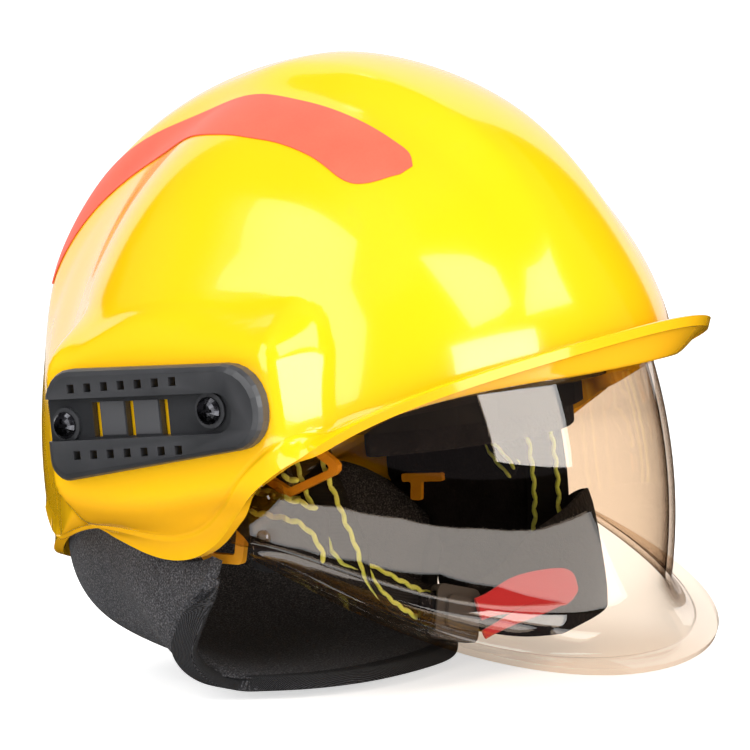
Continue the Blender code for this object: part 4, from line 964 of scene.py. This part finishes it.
TAB = ([(-30, -70, -64), (-18, -77, -61.5), (-6, -83.5, -60.5), (4, -87.5, -61.5), (9, -89.5, -63.5)],
       [(0, 0.15, 1)] * 5)
TAB_FOLD = ([(3, -87.2, -65), (-7, -84.8, -66.5), (-19, -79, -69), (-32, -72.8, -73)],
            [(0, 0.15, 1)] * 4)
# Width, offset of the stitches, and the paths
STRAPS = (
    (19.0, 5.6, {"front_right": FRONT_RIGHT, "front_left": FRONT_LEFT}),
    (14.0, 3.9, {"rear_right": REAR_RIGHT, "rear_left": REAR_LEFT}),
)


def build_straps():
    """Webbing of the harness, and two rows of stitches on each face of it."""
    web = finish(webbing)
    for width, _, paths in STRAPS:
        for word, path in paths.items():
            node = word.replace("_", "_web_")
            build_strap("strap_" + word, path, width, WEB_THICK, web, "helmet", node)
    for _, offset, paths in STRAPS:
        for number, row in enumerate((-offset, offset)):
            for word, path in paths.items():
                for face in (-1, 1):
                    strap_stitches("stitch_%s_%d_%d" % (word, number, face), path, row, face)


def build_pad_stitches():
    """Rows of stitching on the outer face of the right ear pad."""
    rows = ([(-11.8, -11.2), (-21.4, -13.2), (-32.4, -15.5), (-41, -19)],
            [(-10, -19), (-22.8, -21), (-33.1, -24), (-39.4, -31), (-41, -38)],
            [(-25.8, -6), (-33.8, -8.6)])
    for number, knots in enumerate(rows):
        points = curve_through([(PAD_FACE_X, y, z) for y, z in knots], 8)
        normals = np.broadcast_to([-1.0, 0.0, 0.0], points.shape)
        stitch_line("stitch_pad_%d" % number, points, normals)


def build_chin_pad():
    """Padded chin piece, wide under the chin."""
    count = 70
    width = np.interp(np.linspace(0, 1, count), (0, 0.22, 0.5, 0.8, 1.0), (15, 40, 46, 35, 35))
    build_strap("chin_piece", CHIN, width, CHIN_THICK, finish(black_fleece), "helmet",
                "chin_pad", count, 1.0)


def build_tab():
    """Red tab with a rounded end, and its folded end below."""
    count = 40
    part = np.linspace(0, 1, count)
    past = np.clip((part - 0.84) / 0.165, 0, 1)
    width = (8.5 + 5.5 * smooth(part, 0.0, 0.5)) * np.sqrt(1 - past ** 2)
    red = finish(red_fabric)
    build_strap("tab", TAB, width, TAB_THICK, red, "lever", "pull_tab", count, 0.3)
    width = 5.5 - 2.0 * smooth(part, 0.3, 1.0)
    build_strap("tab_fold", TAB_FOLD, width, TAB_FOLD_THICK, red, "lever", None, count, 0.3)


# ---- pads

def inflate(name, source, node):
    """Pad made from a plain solid: remeshed, puffed by a short cloth run, and smoothed."""
    mesh = source.data.copy()
    made = add_object(name, mesh)
    made.matrix_world = source.matrix_world.copy()
    mesh.materials.clear()
    mesh.materials.append(finish(black_fleece))
    step = made.modifiers.new("grid", "REMESH")
    step.mode = "VOXEL"
    step.voxel_size = PUFF_VOXEL * MM
    bake(made)
    run_cloth(made)
    step = made.modifiers.new("fine", "SUBSURF")
    step.levels = 1
    step.render_levels = 1
    made.data.shade_smooth()
    settle(made, "helmet", node)


def bake(item):
    """Apply a piece's modifiers to its mesh."""
    bpy.context.view_layer.update()
    evaluated = item.evaluated_get(bpy.context.evaluated_depsgraph_get())
    mesh = bpy.data.meshes.new_from_object(evaluated)
    item.modifiers.clear()
    item.data = mesh


def run_cloth(item):
    """A few frames of cloth under pressure, then no point moved by more than the limit."""
    before = np.array([tuple(vert.co) for vert in item.data.vertices])
    cloth = item.modifiers.new("cloth", "CLOTH")
    cloth.settings.use_pressure = True
    cloth.settings.uniform_pressure_force = PUFF_PRESSURE
    cloth.settings.effector_weights.gravity = 0.0
    cloth.settings.quality = 4
    for number in range(1, PUFF_FRAMES + 1):
        bpy.context.scene.frame_set(number)
    bake(item)
    bpy.context.scene.frame_set(1)
    after = np.array([tuple(vert.co) for vert in item.data.vertices])
    if after.shape == before.shape:
        move = after - before
        length = np.linalg.norm(move, axis=1)
        scale = np.minimum(1.0, PUFF_LIMIT * MM / np.maximum(length, 1e-9))
        for vert, point in zip(item.data.vertices, before + move * scale[:, None]):
            vert.co = point


def build_pads():
    """Soft pads at brow, nape and crown and over both ears."""
    for node in ("brow_pad", "nape_pad", "crown_pad"):
        inflate("plush_" + node, frame["nodes"][node], node)
    for word, side in SIDES:
        flat = flat_pad(side, EAR_PAD_CORNERS[word])
        inflate("plush_ear_pad_" + word, flat, "ear_pad_" + word)
        bpy.data.objects.remove(flat)


def flat_pad(side, corners):
    """Flat solid of an ear pad, before it is puffed up."""
    outline = rounded(corners)
    points = [(side * x, y, z) for x in EAR_PAD_FACES for y, z in outline]
    count = len(outline)
    faces = [list(range(count)), list(range(count, 2 * count))]
    for corner in range(count):
        nxt = (corner + 1) % count
        faces.append([corner, corner + count, nxt + count, nxt])
    return new_mesh("flat_pad", np.array(points), faces, finish(black_fleece))


# ---- carried-over nodes

def dress_nodes():
    """Materials and rounded edges for the CAD nodes that stay visible."""
    looks = {"black_plastic": black_plastic, "screw_metal": screw_metal, "orange_plastic": orange_plastic,
             "black_foam": black_foam, "amber_lens": amber_lens}
    slots = {entry["node"]: entry["material_slot"] for entry in frame["record"]["subparts"]}
    widths = {"side_rail": 0.7, "front_loop": 0.8, "rear_loop": 0.8, "rail_screw": 0.18, "ratchet": 0.5,
              "visor_arm": 0.5, "buckle": 0.4, "release": 0.4}
    for node, item in frame["nodes"].items():
        if slots[node] not in looks:
            continue
        item.data.materials.clear()
        look = harness_plastic if node.startswith(HARNESS) else looks[slots[node]]
        item.data.materials.append(finish(look))
        for start, width in widths.items():
            if node.startswith(start):
                add_bevel(item, width, 3, 40.0)


# ---- floor, light and camera

def build_floor():
    """Large pale floor that curves up into a wall far behind."""
    path = even_steps(curve_through([(ahead, high, 0) for ahead, high in FLOOR_PROFILE], 8), 60)
    turn = Matrix.Rotation(math.radians(CAMERA_HEADING[0]), 3, "Z")
    points = [turn @ Vector((out, ahead, high - FLOOR_DROP)) for ahead, high in path[:, :2]
              for out in (-FLOOR_HALF_WIDTH, FLOOR_HALF_WIDTH)]
    faces = [(2 * row, 2 * row + 1, 2 * row + 3, 2 * row + 2) for row in range(len(path) - 1)]
    mesh = bpy.data.meshes.new("floor")
    mesh.from_pydata(points, [], faces)
    look = Nodes(bpy.data.materials.new("floor_look"))
    tone = look.mottle(3.0, 2.0, (0.93, 0.93, 0.93), (0.95, 0.95, 0.95))
    mirrored = look.add("ShaderNodeLightPath").outputs["Is Glossy Ray"]
    tone = look.mix(mirrored, tone, (0.0, 0.0, 0.0))
    seen = look.add("ShaderNodeLightPath").outputs["Is Camera Ray"]
    glow = look.math("MULTIPLY", seen, FLOOR_GLOW)
    look.set(Base_Color=tone, Roughness=0.9, Emission_Color=(1.0, 1.0, 1.0), Emission_Strength=glow,
             Specular_IOR_Level=0.0)
    mesh.materials.append(look.made)
    mesh.shade_smooth()
    add_object("floor", mesh)


def softbox(name, strength, corners):
    """A bright sheet through corners given as (azimuth, elevation) round the helmet."""
    centre = Vector((0.0, 0.0, CARD_CENTRE_Z))
    bright_sheet(name, [direction(*corner) * CARD_DISTANCE + centre for corner in corners], strength)


def bright_sheet(name, points, strength):
    """A glowing sheet that the camera doesn't see and that casts no shadow."""
    mesh = bpy.data.meshes.new(name)
    mesh.from_pydata(points, [], [tuple(range(len(points)))])
    look = Nodes(bpy.data.materials.new(name + "_look"))
    look.use_shader(look.add("ShaderNodeEmission", {"Strength": strength}).outputs["Emission"])
    mesh.materials.append(look.made)
    card = add_object(name, mesh)
    card.visible_camera = False
    card.visible_shadow = False
    return card


def floor_card():
    """Bright strip on the floor that only mirrors see: the pale band across the face shield."""
    card = bright_sheet("floor_card", [(x, y, LOW_CARD_Z) for x, y in LOW_CARD], LOW_CARD_GLOW)
    card.visible_diffuse = False


def build_light():
    """Dark studio with a few softboxes; the camera itself sees plain white behind the floor."""
    world = bpy.data.worlds.new("studio")
    bpy.context.scene.world = world
    look = Nodes(world, "Background")
    ray = look.add("ShaderNodeLightPath").outputs
    colour = look.mix(ray["Is Glossy Ray"], WORLD_FILL, WORLD_MIRRORED)
    look.set(Color=look.mix(ray["Is Camera Ray"], colour, (1.0, 1.0, 1.0)))
    for name, (strength, corners) in SOFTBOXES.items():
        softbox(name, strength, corners)
    floor_card()
    for name, settings in LAMPS.items():
        area_light(name, *settings)


def looking_in(heading, distance, centre=(0.0, 0.0, 0.0), roll=0.0):
    """Matrix of a lamp or camera that looks at the centre from a heading and a distance."""
    back = direction(*heading)
    turn = back.to_track_quat("Z", "Y").to_matrix().to_4x4() @ Matrix.Rotation(math.radians(roll), 4, "Z")
    return Matrix.Translation(Vector(centre) + back * distance) @ turn


def area_light(name, heading, size, power):
    """Soft light for the body colour only; the cards make the reflections."""
    data = bpy.data.lights.new(name, "AREA")
    data.shape = "DISK"
    data.size = size
    data.energy = power
    lamp = add_object(name, data)
    lamp.matrix_world = looking_in(heading, LAMP_DISTANCE)
    lamp.visible_glossy = False
    lamp.visible_camera = False


def build_camera():
    """Three-quarter view from the wearer's right, near eye level, slightly rolled."""
    data = bpy.data.cameras.new("camera")
    data.lens = CAMERA_LENS
    data.sensor_width = 36.0
    data.shift_x, data.shift_y = CAMERA_SHIFT
    made = add_object("camera", data)
    made.matrix_world = looking_in(CAMERA_HEADING, CAMERA_DISTANCE, place([0.0, 0.0, 0.0]), CAMERA_ROLL)
    bpy.context.scene.camera = made


build_shell()
for side_word, side_sign in SIDES:
    build_stripe(side_word, side_sign)
build_lens()
build_curtain()
build_straps()
build_pad_stitches()
build_chin_pad()
build_tab()
build_pads()
dress_nodes()
build_floor()
build_light()
build_camera()
bpy.context.scene.view_settings.view_transform = "Standard"
bpy.context.scene.cycles.use_denoising = True
bpy.context.view_layer.update()
